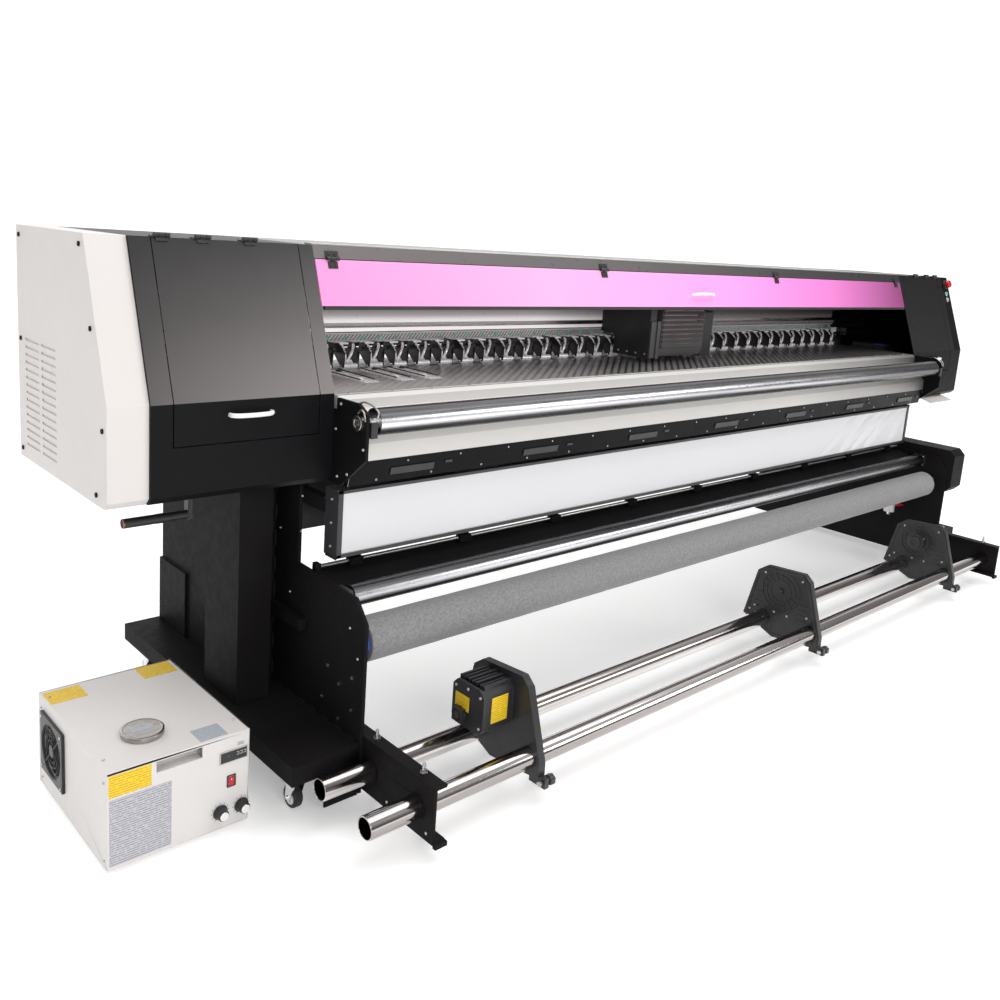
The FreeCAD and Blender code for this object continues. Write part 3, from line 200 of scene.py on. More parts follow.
def hatched_strip():
    paint = Paint("hatched_strip", (0.62, 0.62, 0.60), rough=(0.3, 0.4), metal=0.2)
    paint.colour(paint.ramp(paint.wave((1, 0, -0.9), 0.014), (0.38, (0.34, 0.33, 0.33)),
                            (0.62, (0.84, 0.83, 0.82))))
    return paint.material


def printed_label(name, ground, ink, pitch=0.006, axis=(0, 0, 1)):
    """Plain label with ruled lines in place of wording."""
    paint = Paint(name, ground, rough=(0.45, 0.55))
    lines = paint.wave(axis, pitch)
    gaps = paint.noise(150, (1, 1, 1), 2)
    mask = paint.times(paint.ramp(lines, (0.62, 0), (0.70, 1)), paint.ramp(gaps, (0.40, 0), (0.45, 1)))
    paint.colour(paint.ramp(mask, (0.2, ground), (0.6, ink)))
    return paint.material


def sloped_satin_painted_light():
    """Metallic charcoal of the sloped housing fronts, with a painted reflection that makes it lighter
    towards the bend and the opening.
    """
    paint = Paint("sloped_charcoal_painted_light", (0.1, 0.1, 0.1), rough=(0.34, 0.42), grain=0.10,
                  Specular_IOR_Level=0.3)
    # Painted reflection: lighter low on the slope near the bend, darker towards its top.
    up = paint.fade("Z", (1.05, (1.0, 0.93, 0.92)), (1.12, (0.85, 0.79, 0.78)), (1.25, (0.50, 0.47, 0.465)),
                    (1.43, (0.17, 0.165, 0.17)))
    # Painted light across the machine: lightest on the left head near the opening, nearly black on the right
    # head.
    painted_light_by_side = paint.fade("X", (-2.2, 0.10), (-2.1, 0.13), (-1.9, 0.18), (-1.6, 0.26), (1.6, 0.014),
                     (2.2, 0.012))
    paint.colour(paint.product(up, painted_light_by_side))
    return paint.material


def cream_coat():
    paint = Paint("cream_coat", (0.78, 0.765, 0.72), rough=(0.32, 0.42), grain=0.06)
    # Painted shade: the cream darkens towards the right end of the machine.
    paint.colour(paint.fade("X", (-1.7, (0.64, 0.625, 0.605)), (0.5, (0.60, 0.585, 0.57)),
                            (1.2, (0.36, 0.345, 0.335)), (1.7, (0.11, 0.105, 0.10))))
    return paint.material


def streaked_chrome_painted_reflection(name, node, light, dark):
    """Polished roller with long dark streaks, a painted reflection of a bright line along it between painted
    dark bands, and painted shade at its right end.
    """
    low, high = mm(node)[2] / 1000, mm(node)[5] / 1000
    paint = Paint(name, light, rough=(0.24, 0.34), metal=1.0, scale=5, stretch=(0.25, 5, 5), grain=0.10,
                  grain_scale=60)
    streaks = paint.ramp(paint.noise(4.0, (0.10, 9, 9), 5), (0.40, dark), (0.62, light))
    # Painted reflection across the roller's height: dark near the bottom and the top, a bright line a little
    # above the middle.
    painted_reflection_tones = (0, 0.12), (0.30, 0.16), (0.45, 1.3), (0.64, 1.4), (0.78, 0.45), (0.88, 0.10), (1, 0.20)
    lines = paint.fade("Z", *((low + (high - low) * part, tone) for part, tone in painted_reflection_tones))
    # Painted shade: the roller dims towards its right end.
    along = paint.fade("X", (-1.7, 1), (0.6, 1), (1.7, (0.30, 0.30, 0.31)))
    paint.colour(paint.product(paint.product(streaks, lines), along))
    return paint.material


def beam_face_painted_light():
    """Face of the guide beam painted as if lit: it glows, has a painted shadow along its upper part under
    the window, and falls into painted shade beyond the carriage.
    """
    paint = Paint("beam_face_painted_light", (0.8, 0.8, 0.8), rough=(0.25, 0.4))
    shade = paint.fade("X", (-1.7, (0.86, 0.83, 0.82)), (-0.5, (0.80, 0.77, 0.77)),
                       (0.1, (0.17, 0.155, 0.15)), (1.7, (0.06, 0.052, 0.052)))
    # Painted shadow: the face darkens towards its top, under the window's lower edge.
    rise = paint.fade("Z", (1.15, 1), (1.186, 0.95), (1.204, (0.40, 0.39, 0.39)),
                      (1.22, (0.22, 0.21, 0.21)))
    # The band glows with its own colour as painted light.
    paint.colour(paint.product(shade, rise), 0.75)
    return paint.material


def header_grey_painted_shade():
    paint = Paint("header_grey_painted_shade", (0.13, 0.13, 0.13), rough=(0.26, 0.36), grain=0.04, Specular_IOR_Level=0.3)
    # Painted shade: the header grey darkens towards the right end.
    paint.colour(paint.fade("X", (-1.7, (0.165, 0.152, 0.15)), (-0.4, (0.12, 0.112, 0.112)),
                            (0.6, (0.06, 0.056, 0.056)), (1.7, 0.025)))
    return paint.material


def pink_sheet_painted_glow():
    paint = Paint("pink_sheet_painted_glow", (0.93, 0.42, 0.80), rough=(0.16, 0.24), scale=0.4, Coat_Weight=0.4,
                  Coat_Roughness=0.08)
    # The sheet glows with its own colour as painted backlight; its pink shifts along its length and darkens
    # towards the right end.
    paint.colour(paint.fade("X", (-1.7, (0.75, 0.26, 0.52)), (-0.85, (0.78, 0.35, 0.59)),
                            (0.2, (0.80, 0.29, 0.64)), (1.0, (0.66, 0.18, 0.50)),
                            (1.7, (0.22, 0.04, 0.145))), 0.30)
    return paint.material


def coat(*settings, **sockets):
    return Paint(*settings, **sockets).material


M = {
    "white": coat("white_coat", (0.69, 0.655, 0.64), (0.66, 0.63, 0.615), (0.38, 0.48), grain=0.05),
    "cream": cream_coat(),
    "case": coat("cooler_coat", (0.71, 0.685, 0.675), (0.68, 0.655, 0.645), (0.40, 0.52), grain=0.10),
    "brushed": coat("brushed_cap", (0.46, 0.43, 0.41), (0.34, 0.32, 0.30), (0.24, 0.36), 1.0, 8, (1, 6, 1)),
    "satin": coat("satin_black", (0.009, 0.009, 0.010), (0.006, 0.006, 0.007), (0.36, 0.44), grain=0.05,
                   Specular_IOR_Level=0.07),
    "slope": sloped_satin_painted_light(),
    "copper": coat("copper_ring", (0.42, 0.20, 0.12), rough=(0.25, 0.35), metal=1.0),
    # Painted light: this steel glows a little so that it stays bright in shade.
    "bright": coat("bright_steel", (0.88, 0.87, 0.87), (0.80, 0.79, 0.79), (0.22, 0.32), 0.3, 6,
                    Emission_Color=(1, 1, 1, 1), Emission_Strength=0.10),
    "leg": coat("leg_black", (0.013, 0.012, 0.013), (0.009, 0.008, 0.009), (0.46, 0.58), scale=5,
                grain=0.10,
                 Specular_IOR_Level=0.05),
    "dark": coat("dark_grey", (0.045, 0.045, 0.049), (0.032, 0.032, 0.036), (0.35, 0.46), grain=0.06),
    "header": header_grey_painted_shade(),
    "cover": coat("cover_grey", (0.085, 0.082, 0.082), (0.06, 0.058, 0.058), (0.3, 0.4), grain=0.06),
    "louvre": coat("louvre_light", (0.24, 0.21, 0.19), (0.12, 0.10, 0.09), (0.25, 0.4), 0.6, 12),
    "trim": coat("trim_grey", (0.52, 0.51, 0.49), (0.42, 0.41, 0.40), (0.3, 0.4), 0.3),
    "plastic": coat("black_plastic", (0.024, 0.024, 0.027), (0.014, 0.014, 0.016), (0.32, 0.46), scale=12,
                     grain=0.25, grain_scale=500),
    "web": coat("web_plastic", (0.030, 0.030, 0.032), (0.016, 0.016, 0.018), (0.40, 0.6), scale=30,
                grain=0.5,
                 grain_scale=300),
    "rubber": coat("rubber", (0.020, 0.020, 0.021), (0.012, 0.012, 0.013), (0.6, 0.8), scale=20, grain=0.4),
    "white_gloss": coat("white_gloss", (0.88, 0.88, 0.87), (0.84, 0.84, 0.83), (0.18, 0.28)),
    "steel": coat("brushed_steel", (0.62, 0.61, 0.60), (0.48, 0.47, 0.46), (0.22, 0.40), 1.0, 6,
                  (0.1, 4, 4)),
    "chrome": coat("chrome", (0.83, 0.82, 0.82), (0.76, 0.75, 0.75), (0.06, 0.12), 1.0, 4, (0.3, 3, 3)),
    "roller": streaked_chrome_painted_reflection("roller_chrome", "pressure_roller", (0.78, 0.78, 0.80), (0.30, 0.29, 0.31)),
    "idler": streaked_chrome_painted_reflection("idler_chrome", "idle_roller", (0.74, 0.74, 0.76), (0.30, 0.29, 0.31)),
    # Painted reflection: long dark and light bands along the tubes.
    "tube": coat("tube_steel", (0.76, 0.73, 0.72), (0.36, 0.33, 0.32), (0.08, 0.16), 1.0, 4, (0.10, 9, 9),
                 contrast=(0.42, 0.6)),
    "band": beam_face_painted_light(),
    "red": coat("red_plastic", (0.62, 0.02, 0.03), (0.45, 0.01, 0.02), (0.22, 0.3), scale=30),
    "yellow": coat("yellow_mark", (0.88, 0.70, 0.04), (0.80, 0.60, 0.03), (0.35, 0.45), scale=30),
    # Painted light: the green marks and the start button glow a little.
    "green": coat("green_mark", (0.04, 0.48, 0.24), (0.02, 0.36, 0.17), (0.3, 0.4), scale=30,
                   Emission_Color=(0.05, 0.7, 0.35, 1), Emission_Strength=0.25),
    "blue": coat("blue_plastic", (0.05, 0.14, 0.55), (0.03, 0.09, 0.40), (0.3, 0.4), scale=30),
    "glass": coat("display", (0.02, 0.025, 0.03), (0.01, 0.012, 0.016), (0.06, 0.12)),
    "filter": coat("filter_bowl", (0.82, 0.82, 0.82), (0.74, 0.74, 0.75), (0.2, 0.3)),
    "yellow_label": printed_label("yellow_label", (0.86, 0.58, 0.015), (0.55, 0.34, 0.01)),
    "yellow_flat": printed_label("yellow_label_flat", (0.86, 0.58, 0.015), (0.58, 0.36, 0.01),
                                 axis=(0, 1, 0)),
    "grey_label": printed_label("grey_label", (0.50, 0.50, 0.54), (0.22, 0.22, 0.25), 0.0058),
    "grey_flat": printed_label("grey_label_flat", (0.42, 0.46, 0.50), (0.32, 0.35, 0.39), 0.008, (0, 1, 0)),
    "platen": slatted_platen(),
    "hatch": hatched_strip(),
    "felt": coat("felt", (0.26, 0.256, 0.26), (0.19, 0.187, 0.19), (0.9, 1.0), scale=160, grain=0.9,
                 grain_scale=1100, contrast=(0.36, 0.64), Sheen_Weight=0.2),
    "pink": pink_sheet_painted_glow(),
    "film": coat("film", (0.78, 0.775, 0.80), (0.75, 0.745, 0.77), (0.75, 0.9), scale=1.4, grain=0.25,
                 grain_scale=1500),
}


# ---- pieces ----------------------------------------------------------------
def angles(count):
    """Directions of a full turn in equal steps."""
    return [2 * math.pi * n / count for n in range(count)]


def circle(u, v, radius, turns):
    """Points round (u, v) in the given directions."""
    return [(u + radius * math.cos(a), v + radius * math.sin(a)) for a in turns]


def fluted(u, v, radius, depth, flutes, steps):
    """A circle's points with flutes cut into it."""
    points = []
    for a in angles(steps):
        r = radius * (1 - depth * (0.5 + 0.5 * math.cos(flutes * a)))
        points.append((u + r * math.cos(a), v + r * math.sin(a)))
    return points


def squared(points, u, v, low_u, high_u, low_v, high_v):
    """Points round (u, v) pushed outward onto the sides of a rectangle."""
    pushed = []
    for a, b in points:
        du, dv = a - u, b - v
        k = min((high_u - u if du > 0 else u - low_u) / max(abs(du), 1e-6),
                (high_v - v if dv > 0 else v - low_v) / max(abs(dv), 1e-6))
        pushed.append((u + du * k, v + dv * k))
    return pushed


class Piece:
    """One mesh in millimetres, built up from several closed forms, that rides on a body."""

    def __init__(self, name, body, mats, bevel=0.8, slot=None, hides=()):
        self.bm = bmesh.new()
        self.name, self.body, self.bevel = name, body, bevel
        self.mats = mats.split()
        self.slot, self.hides = slot, hides
        self.place = Matrix.Identity(4)
        self.limit = 32

    def ring(self, points):
        return [self.bm.verts.new(self.place @ Vector(p)) for p in points]

    def skin(self, loops, mat=0, closed=False, caps=True):
        """Faces between successive loops of the same length."""
        rings = [self.ring(loop) for loop in loops]
        made = []
        pairs = list(zip(rings, rings[1:])) + ([(rings[-1], rings[0])] if closed else [])
        for a, b in pairs:
            for n in range(len(a)):
                k = (n + 1) % len(a)
                made.append(self.bm.faces.new((a[n], a[k], b[k], b[n])))
        if caps and not closed:
            made.append(self.bm.faces.new(rings[0][::-1]))
            made.append(self.bm.faces.new(rings[-1]))
        for face in made:
            face.material_index = mat
        return made

    def box(self, x0, x1, y0, y1, z0, z1, mat=0):
        low = [(x0, y0, z0), (x1, y0, z0), (x1, y1, z0), (x0, y1, z0)]
        self.skin([low, [(x, y, z1) for x, y, _ in low]], mat)

    def prism(self, outline, x0, x1, mat=0):
        self.skin([[(x0, y, z) for y, z in outline], [(x1, y, z) for y, z in outline]], mat)

    def turned(self, profile, start, axis, mat=0, steps=32, hollow=False):
        """Revolves (along, radius) points about an axis from start."""
        axis = Vector(axis).normalized()
        side = axis.orthogonal().normalized()
        other = axis.cross(side)
        loops = []
        for along, radius in profile:
            hub = Vector(start) + axis * along
            loops.append([hub + (side * math.cos(a) + other * math.sin(a)) * radius
                          for a in angles(steps)])
        self.skin(loops, mat, closed=hollow)

    def rod(self, a, b, radius, mat=0, steps=20):
        a, b = Vector(a), Vector(b)
        self.turned([(0, radius), ((b - a).length, radius)], a, b - a, mat, steps)

    def screw(self, at, axis, radius, mat=0):
        """Domed head with a socket."""
        r = radius
        profile = [(0, r), (r * 0.35, r), (r * 0.62, r * 0.82), (r * 0.75, r * 0.5), (r * 0.3, r * 0.42),
                   (r * 0.3, 0.01)]
        self.turned(profile, at, axis, mat, 16)

    def wire(self, points, radius, mat=0, steps=10, flat=1.0):
        """A round or flattened bar along a smooth line through points."""
        line = smooth_line([Vector(p) for p in points])
        loops = []
        guide = Vector((0, 0, 1))
        for n, p in enumerate(line):
            ahead = line[min(n + 1, len(line) - 1)] - line[max(n - 1, 0)]
            side = ahead.cross(guide)
            side = side.normalized() if side.length > 1e-6 else Vector((1, 0, 0))
            up = side.cross(ahead).normalized()
            loops.append([p + side * math.cos(a) * radius * flat + up * math.sin(a) * radius
                          for a in angles(steps)])
        self.skin(loops, mat)

    def done(self):
        bmesh.ops.recalc_face_normals(self.bm, faces=self.bm.faces)
        self.bm.transform(Matrix.Scale(0.001, 4))
        mesh = bpy.data.meshes.new(self.name)
        for face in self.bm.faces:
            face.smooth = True
        self.bm.to_mesh(mesh)
        self.bm.free()
        for key in self.mats:
            mesh.materials.append(M[key])
        piece = bpy.data.objects.new(self.name, mesh)
        bpy.context.scene.collection.objects.link(piece)
        soften(piece, self.bevel, self.limit)
        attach(piece, self.body)
        if self.hides:
            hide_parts(*self.hides)
        return piece


def smooth_line(points, steps=6):
    """Catmull-Rom line through the points."""
    ends = [2 * points[0] - points[1]] + points + [2 * points[-1] - points[-2]]
    line = []
    for a, b, c, d in zip(ends, ends[1:], ends[2:], ends[3:]):
        for k in range(steps):
            t = k / steps
            line.append(0.5 * (2 * b + (c - a) * t + (2 * a - 5 * b + 4 * c - d) * t * t
                               + (3 * b - a - 3 * c + d) * t ** 3))
    return line + [points[-1]]


def soften(piece, width, limit=32):
    """Rounds the sharp edges and keeps flat faces flat."""
    for polygon in piece.data.polygons:
        polygon.use_smooth = True
    weld = piece.modifiers.new("weld", "WELD")
    weld.merge_threshold = 0.00002
    bevel = piece.modifiers.new("bevel", "BEVEL")
    bevel.width = width * 0.001
    bevel.segments = 2
    bevel.limit_method = "ANGLE"
    bevel.angle_limit = math.radians(limit)
    weighted = piece.modifiers.new("weighted", "WEIGHTED_NORMAL")
    weighted.weight = 100


def dress(node, key, bevel=1.2, *rules, limit=32):
    """Gives a CAD node its materials; a rule picks faces by their middle in millimetres."""
    piece = NODES[node]
    piece.data.materials.clear()
    piece.data.materials.append(M[key])
    for other, _ in rules:
        piece.data.materials.append(M[other])
    for polygon in piece.data.polygons:
        centre_mm = polygon.center * 1000
        index = 0
        for n, (_, test) in enumerate(rules):
            if test(centre_mm, polygon.normal):
                index = n + 1
        polygon.material_index = index
    soften(piece, bevel, limit)


# ---- sizes read from the frame ---------------------------------------------
HEAD = mm("head_frames")
BEND_Y = HEAD[1]
TOP_Z = HEAD[5]
BEND_Z = 1052.0
TOP_Y = -292.0
SLOPE = (TOP_Y - BEND_Y) / (TOP_Z - BEND_Z)
ANGLE = math.atan(SLOPE)
HALF = mm("front_apron")[3]  # half the length of the apron, the strips and the rolls
PRESS_Y, PRESS_Z = roller_axis("pressure_roller")
IDLE_Y, IDLE_Z = roller_axis("idle_roller")
FELT_Y, FELT_Z = roller_axis("felt_roll")
WINDOW_HINGES = (-1645, -548, 548, 1645)
DOOR_HINGES = [HEAD[3] - 53 - shift for shift in (27, 130, 255)]
ARMS, ARM_PITCH = 34, 96     # pinch arms along the opening
PLATE = 12                   # half the thickness of a roll holder
CHUCK_AXIS = (-762, 238)     # depth and height of the axis of the core chucks


def slope_y(z, inward=0.0):
    """Depth of the sloped front at a height, or of a face inward of it."""
    if z <= BEND_Z:
        return BEND_Y + inward
    return BEND_Y + (z - BEND_Z) * SLOPE + inward * math.hypot(1, SLOPE)


def on_slope(x, z, lift=0.0):
    """Placement whose local -Y leaves the sloped front squarely."""
    return Matrix.Translation((x, slope_y(z, -lift), z)) @ Matrix.Rotation(-ANGLE, 4, "X")


def bow(piece, half, reach, radius, mat, flat=1.0):
    """Bow-shaped pull whose ends stand on the panel."""
    line = [(-half, 2, 0), (-half * 0.97, -reach * 0.45, 0), (-half * 0.72, -reach * 0.86, 0),
            (-half * 0.3, -reach, 0),
            (half * 0.3, -reach, 0), (half * 0.72, -reach * 0.86, 0), (half * 0.97, -reach * 0.45,
                    0), (half, 2, 0)]
    piece.wire(line, radius, mat, 12, flat)


def hinge_leaf(piece, x, axis, angle, lift, reach, mat, screw):
    """Moving leaf with its knuckle and two screws."""
    piece.place = Matrix.Translation((x, *axis)) @ Matrix.Rotation(angle, 4, "X")
    piece.turned([(-7.2, 4.9), (7.2, 4.9)], (0, 0, 0), (1, 0, 0), mat, 20)
    near = lift - math.copysign(3, lift)
    piece.box(-7.2, 7.2, 0.5, lift, -7.2, -0.5, mat)
    piece.box(-15, 15, near, lift, -reach, -6.4, mat)
    for dx in (-8, 8) if screw is not None else ():
        piece.screw((dx, near, -reach * 0.68), (0, -1, 0), 3.4, screw)
    piece.place = Matrix.Identity(4)


# ---- end housings and covers -----------------------------------------------
def doors():
    """Bent door panels with a bow grip and three hinge leaves each."""
    axis = (-295.2, 1434.0)
    lift = 3.2 * math.cos(ANGLE) + 6.0 * math.sin(ANGLE)
    for side, name in ((-1, "left"), (1, "right")):
        x0, _, low, x1, _, _ = mm("door_" + name)
        panel = Piece("panel_" + name, "door " + name, "satin slope", 1.0, "black_coat", ["door_" + name])
        panel.limit = 12
        face = [(BEND_Y, low), (BEND_Y, BEND_Z), (slope_y(TOP_Z), TOP_Z)]
        back = [(slope_y(TOP_Z, 3), TOP_Z), (BEND_Y + 3, BEND_Z), (BEND_Y + 3, low)]
        panel.prism(face + back, x0, x1)
        panel.bm.normal_update()
        for side_face in panel.bm.faces:
            if abs(side_face.normal.z) > 0.2 and abs(side_face.normal.y) > 0.5:
                side_face.material_index = 1
        panel.done()
        grip = Piece("grip_" + name, "door " + name, "white_gloss", 0.6, "white_plastic")
        grip.place = Matrix.Translation(((x0 + x1) / 2, BEND_Y, BEND_Z - 35))
        bow(grip, 56, 24, 6, 0, 0.75)
        grip.done()
        leaves = Piece("leaves_" + name, "door " + name, "plastic", 0.5, "black_plastic")
        for x in DOOR_HINGES:
            hinge_leaf(leaves, side * x, axis, -ANGLE, lift, 15, 0, None)
        leaves.done()


def vent_backs():
    """White plates close behind the vent slots."""
    for side, name in ((-1, "left"), (1, "right")):
        wall = side * (mm("shell_" + name)[3 if side > 0 else 0] * side - 3)
        plate = Piece("vent_back_" + name, "frame", "white" if side < 0 else "satin", 0.3, "white_coat")
        plate.box(wall, wall - side * 1.5, -96, 146, 846, 1146, 0)
        plate.done()


def window():
    """Tinted flap with its lower rail, grip and hinge leaves."""
    x0, _, _, x1, _, _ = mm("window")
    top = TOP_Z - 36
    base = top - 120
    sheet = Piece("tinted_window", "window", "pink plastic", 0.8, "pink_glass", ["window"])
    sheet.prism([(slope_y(base), base), (slope_y(top), top), (slope_y(top, 5), top),
                 (slope_y(base, 5), base)], x0 - 7, x1 + 7, 0)
    sheet.prism([(slope_y(base - 10), base - 10), (slope_y(base), base), (slope_y(base, 9), base),
                 (slope_y(base - 10, 9), base - 10)], x0, x1, 1)
    sheet.done()
    grip = Piece("window_grip", "window", "white_gloss", 0.6, "white_plastic")
    grip.place = on_slope(0, base + 42)
    bow(grip, 66, 22, 6, 0, 0.75)
    grip.done()
    hinges = Piece("window_leaves", "window", "plastic dark", 0.5, "black_plastic")
    mid = TOP_Z - 35
    axis = (slope_y(mid) - 6 * math.cos(ANGLE), mid + 6 * math.sin(ANGLE))
    for x in WINDOW_HINGES:
        hinge_leaf(hinges, x, axis, -ANGLE, 6, 26, 0, 1)
    hinges.done()


def header_details():
    """Screws on the fixed hinge leaves."""
    piece = Piece("header_screws", "frame", "dark plastic", 0.3, "steel")
    for x in WINDOW_HINGES:
        piece.place = on_slope(x, TOP_Z - 35, 3.0)
        for dx in (-10, 10):
            piece.screw((dx, -0.2, 15), (0, -1, 0), 3.4)
    piece.place = Matrix.Identity(4)
    for side in (-1, 1):
        for x in DOOR_HINGES:
            for dx in (-10, 10):
                piece.screw((side * x + dx, -275, TOP_Z + 2.8), (0, 0, 1), 3.2)
    piece.done()


# ---- inside the opening ----------------------------------------------------
def beam_details():
    """Bright strips, the hatched scale and its row of green marks on the guide beam."""
    face = 40.0
    end = HALF + 8
    bands = Piece("beam_bands", "frame", "band white_gloss hatch green", 0.6, "aluminium")
    bands.box(-end, end, face - 3, face - 0.2, 1180, 1245, 0)
    bands.box(-end, end, face - 3, face - 0.2, 1262, 1289, 0)
    bands.box(-end, end, face - 17, face - 14.8, 1153.5, 1165.5, 0)
    bands.box(-HALF, HALF, face - 13, face - 0.5, 1144, 1150, 1)
    bands.box(-HALF, HALF, face - 8, face - 0.2, 1125.3, 1143.5, 2)
    bands.box(-HALF, HALF, face - 10, face - 5, 1118, 1125, 1)
    for n in range(53):
        bands.turned([(0, 5.5), (1.4, 5.2), (2, 0.5)], (-HALF + n * 64.6, face - 8, 1134.5), (0, -1, 0), 3,
                     14)
    bands.done()


def pinch_details():
    """Springs, screws and axle ends on every pinch arm."""
    arms = Piece("pinch_springs", "pinch arms", "bright chrome plastic", 0.3, "chrome")
    for n in range(ARMS):
        x = (n - (ARMS - 1) / 2) * ARM_PITCH
        arms.box(x - 27.5, x + 4, -17, 14, 1119, 1124.5, 0)
        arms.box(x + 6, x + 27.5, -17, 14, 1119, 1124.5, 2)
        arms.box(x - 25, x + 25, -41, -38.5, 1074, 1106, 2)
        arms.wire([(x + 20, -19, 1119), (x + 12, -32, 1111), (x - 4, -44, 1092), (x - 15, -47, 1074),
                   (x - 13, -45, 1066)], 4.4, 0, 8)
        arms.wire([(x - 22, -12, 1121), (x - 23, -30, 1112), (x - 24, -44, 1092), (x - 23, -46, 1071)], 2.6,
                  0, 8)
        for s in (-1, 1):
            arms.screw((x + s * 31.2, -35, 1053.8), (s, 0, 0), 4.2, 1)
    arms.done()


def carriage():
    """Head box, louvred cover, lamp box and the short tube bends of the print carriage."""
    x0, y0, z0, x1, _, z1 = mm("carriage")
    split, lamp = x0 + 49, x0 + 328
    body = Piece("print_carriage", "carriage", "plastic cover web steel louvre", 1.6, "black_plastic",
                 ["carriage"])
    body.box(x0, split - 12, y0 + 14, -62, z0, z1 - 6, 0)
    body.box(split - 14, split + 6, y0 + 4, y0 + 18, z0, z1 - 50, 1)
    body.box(x0 + 4, split + 2, y0 + 9, y0 + 14.5, z0 + 2, z1 - 52, 1)
    for y in (-222, -178, -134, -90):
        body.screw((x0, y, z0 + 16), (-1, 0, 0), 4.6, 3)
    body.prism([(y0 + 12, z1), (y0 + 2, z1 - 10), (y0 + 2, z0 + 40), (y0 + 12, z0 + 8), (-62, z0 + 8),
                (-62, z1)], split + 8, lamp, 1)
    for n in range(8):
        z = z0 + 44 + n * 18.5
        body.prism([(y0 - 5, z), (y0, z + 9), (y0 + 3, z + 9), (y0 + 3, z - 2)], split + 12, lamp - 8, 1)
        body.prism([(y0 + 0.4, z + 9.6), (y0 + 0.4, z + 15), (y0 + 3, z + 15), (y0 + 3, z + 9.6)],
                   split + 18, lamp - 14, 4)
    body.box(lamp - 46, lamp - 14, y0 - 4, y0 + 2, z1 - 52, z1 - 46, 0)
    body.box(lamp - 46, lamp - 14, y0 - 4, y0 + 2, z1 - 30, z1 - 24, 0)
    body.prism([(y0 + 22, z1 - 12), (y0 + 18, z1 - 18), (y0 + 18, z0), (-62, z0), (-62, z1 - 12)],
               lamp + 12, x1, 0)
    body.box(lamp, lamp + 12, y0 + 34, -70, z0 + 4, z1 - 20, 2)
    body.box(x0 + 20, x1 - 20, -62, 24.5, 1140, z1 - 14, 0)
    for y in (-200, -160, -120):
        body.wire([(x0 + 12, y, z1 - 8), (x0 + 10, y + 6, z1 + 6), (x0 + 30, y + 22, z1 + 8),
                   (x0 + 60, y + 26, z1 - 2)], 4, 0, 10)
    body.done()


def platen_details():
    """Suction holes, the joint lines of the bed and the trim between bed and strip."""
    _, y0, _, _, _, top = mm("platen")
    piece = Piece("platen_trim", "frame", "cream plastic steel", 0.4, "cream_coat")
    piece.box(1 - HALF, HALF - 1, -402, -396, top - 3, top + 0.8, 2)
    piece.box(1 - HALF, HALF - 1, y0 + 16, y0 + 17.5, top - 2, top + 0.5, 1)
    for n in range(24):
        x = -1640 + n * 142
        piece.screw((x, -408, top), (0, 0, 1), 4, 2)
    for n in range(60):
        for y in (-120, -210, -300):
            piece.turned([(0, 3), (0.3, 3), (0.35, 1)], (-1660 + n * 56.4 + (y * 0.1), y, top), (0, 0, 1),
                         1, 10)
    piece.done()


def media_clamps():
    """Thin edge clamps with dark side rims, a raised bar and a stud."""
    for n in (1, 2, 3):
        name = "media_clamp_%d" % n
        x0, y0, z0, x1, y1, _ = mm(name)
        x = (x0 + x1) / 2
        # The blade is the glowing bright steel: painted light in place of the chrome's reflection.
        blade = Piece("edge_clamp_%d" % n, "media clamp %d" % n, "bright steel plastic", 0.5, "steel",
                      [name])
        blade.prism([(y1, z0), (y0 + 24, z0), (y0, z0 + 1.6), (y0 + 18, z0 + 3), (y1 - 70, z0 + 5),
                     (y1, z0 + 5)], x0, x1, 0)
        blade.box(x - 9, x + 9, y1 - 160, y1 - 6, z0 + 4.9, z0 + 6.6, 0)
        for edge in (x0, x1 - 2.5):
            blade.box(edge, edge + 2.5, y0 + 30, y1, z0 + 4.9, z0 + 8.5, 2)
        blade.turned([(0, 9), (5, 9), (6.4, 7), (6.4, 0.5)], (x, y1 - 41, z0 + 5), (0, 0, 1), 2, 20)
        for dy in (20, 130):
            blade.screw((x, y1 - dy, z0 + 6.6), (0, 0, 1), 3, 1)
        blade.done()


def bracket_details():
    """Screws, bearing rings and locking hooks on the two end brackets, and the mark on the cap pad."""
    piece = Piece("bracket_fittings", "frame", "steel brushed plastic blue", 0.5, "steel")
    piece.box(1892, 1962, -178, -120, 1051.5, 1056, 3)
    for side in (-1, 1):
        face = side * (HALF + 10)
        inner = side * HALF
        for y, z in ((-460, 1030), (-560, 1008), (-568, 930), (-500, 850), (-455, 835), (-440, 960)):
            if side < 0 or abs(y) > 430:
                piece.screw((face, y, z), (side, 0, 0), 4.5, 0)
        piece.turned([(0, 20), (8, 20), (9, 18.5), (9, 12), (0, 12)], (face, PRESS_Y, PRESS_Z),
                     (side, 0, 0), 1, 36, True)
        piece.wire([(face + side * 5, -545, 1021), (face + side * 6, -560, 1032),
                    (face + side * 6, -574, 1024),
                    (face + side * 6, -579, 1005)], 2.8, 1, 10)
        piece.wire([(inner - side * 4, -520, 1040), (inner - side * 12, -536, 1046),
                    (inner - side * 20, -560, 1040),
                    (inner - side * 22, -582, 1026), (inner - side * 16, -586, 1012)], 2.8, 1, 10)
        piece.turned([(0, 22), (12, 22), (14, 19), (14, 11), (0, 11)], (inner, PRESS_Y, PRESS_Z),
                     (-side, 0, 0), 1, 32, True)
        piece.box(inner - side * 2, inner - side * 22, -583, -574, 960, 1000, 2)
    piece.done()


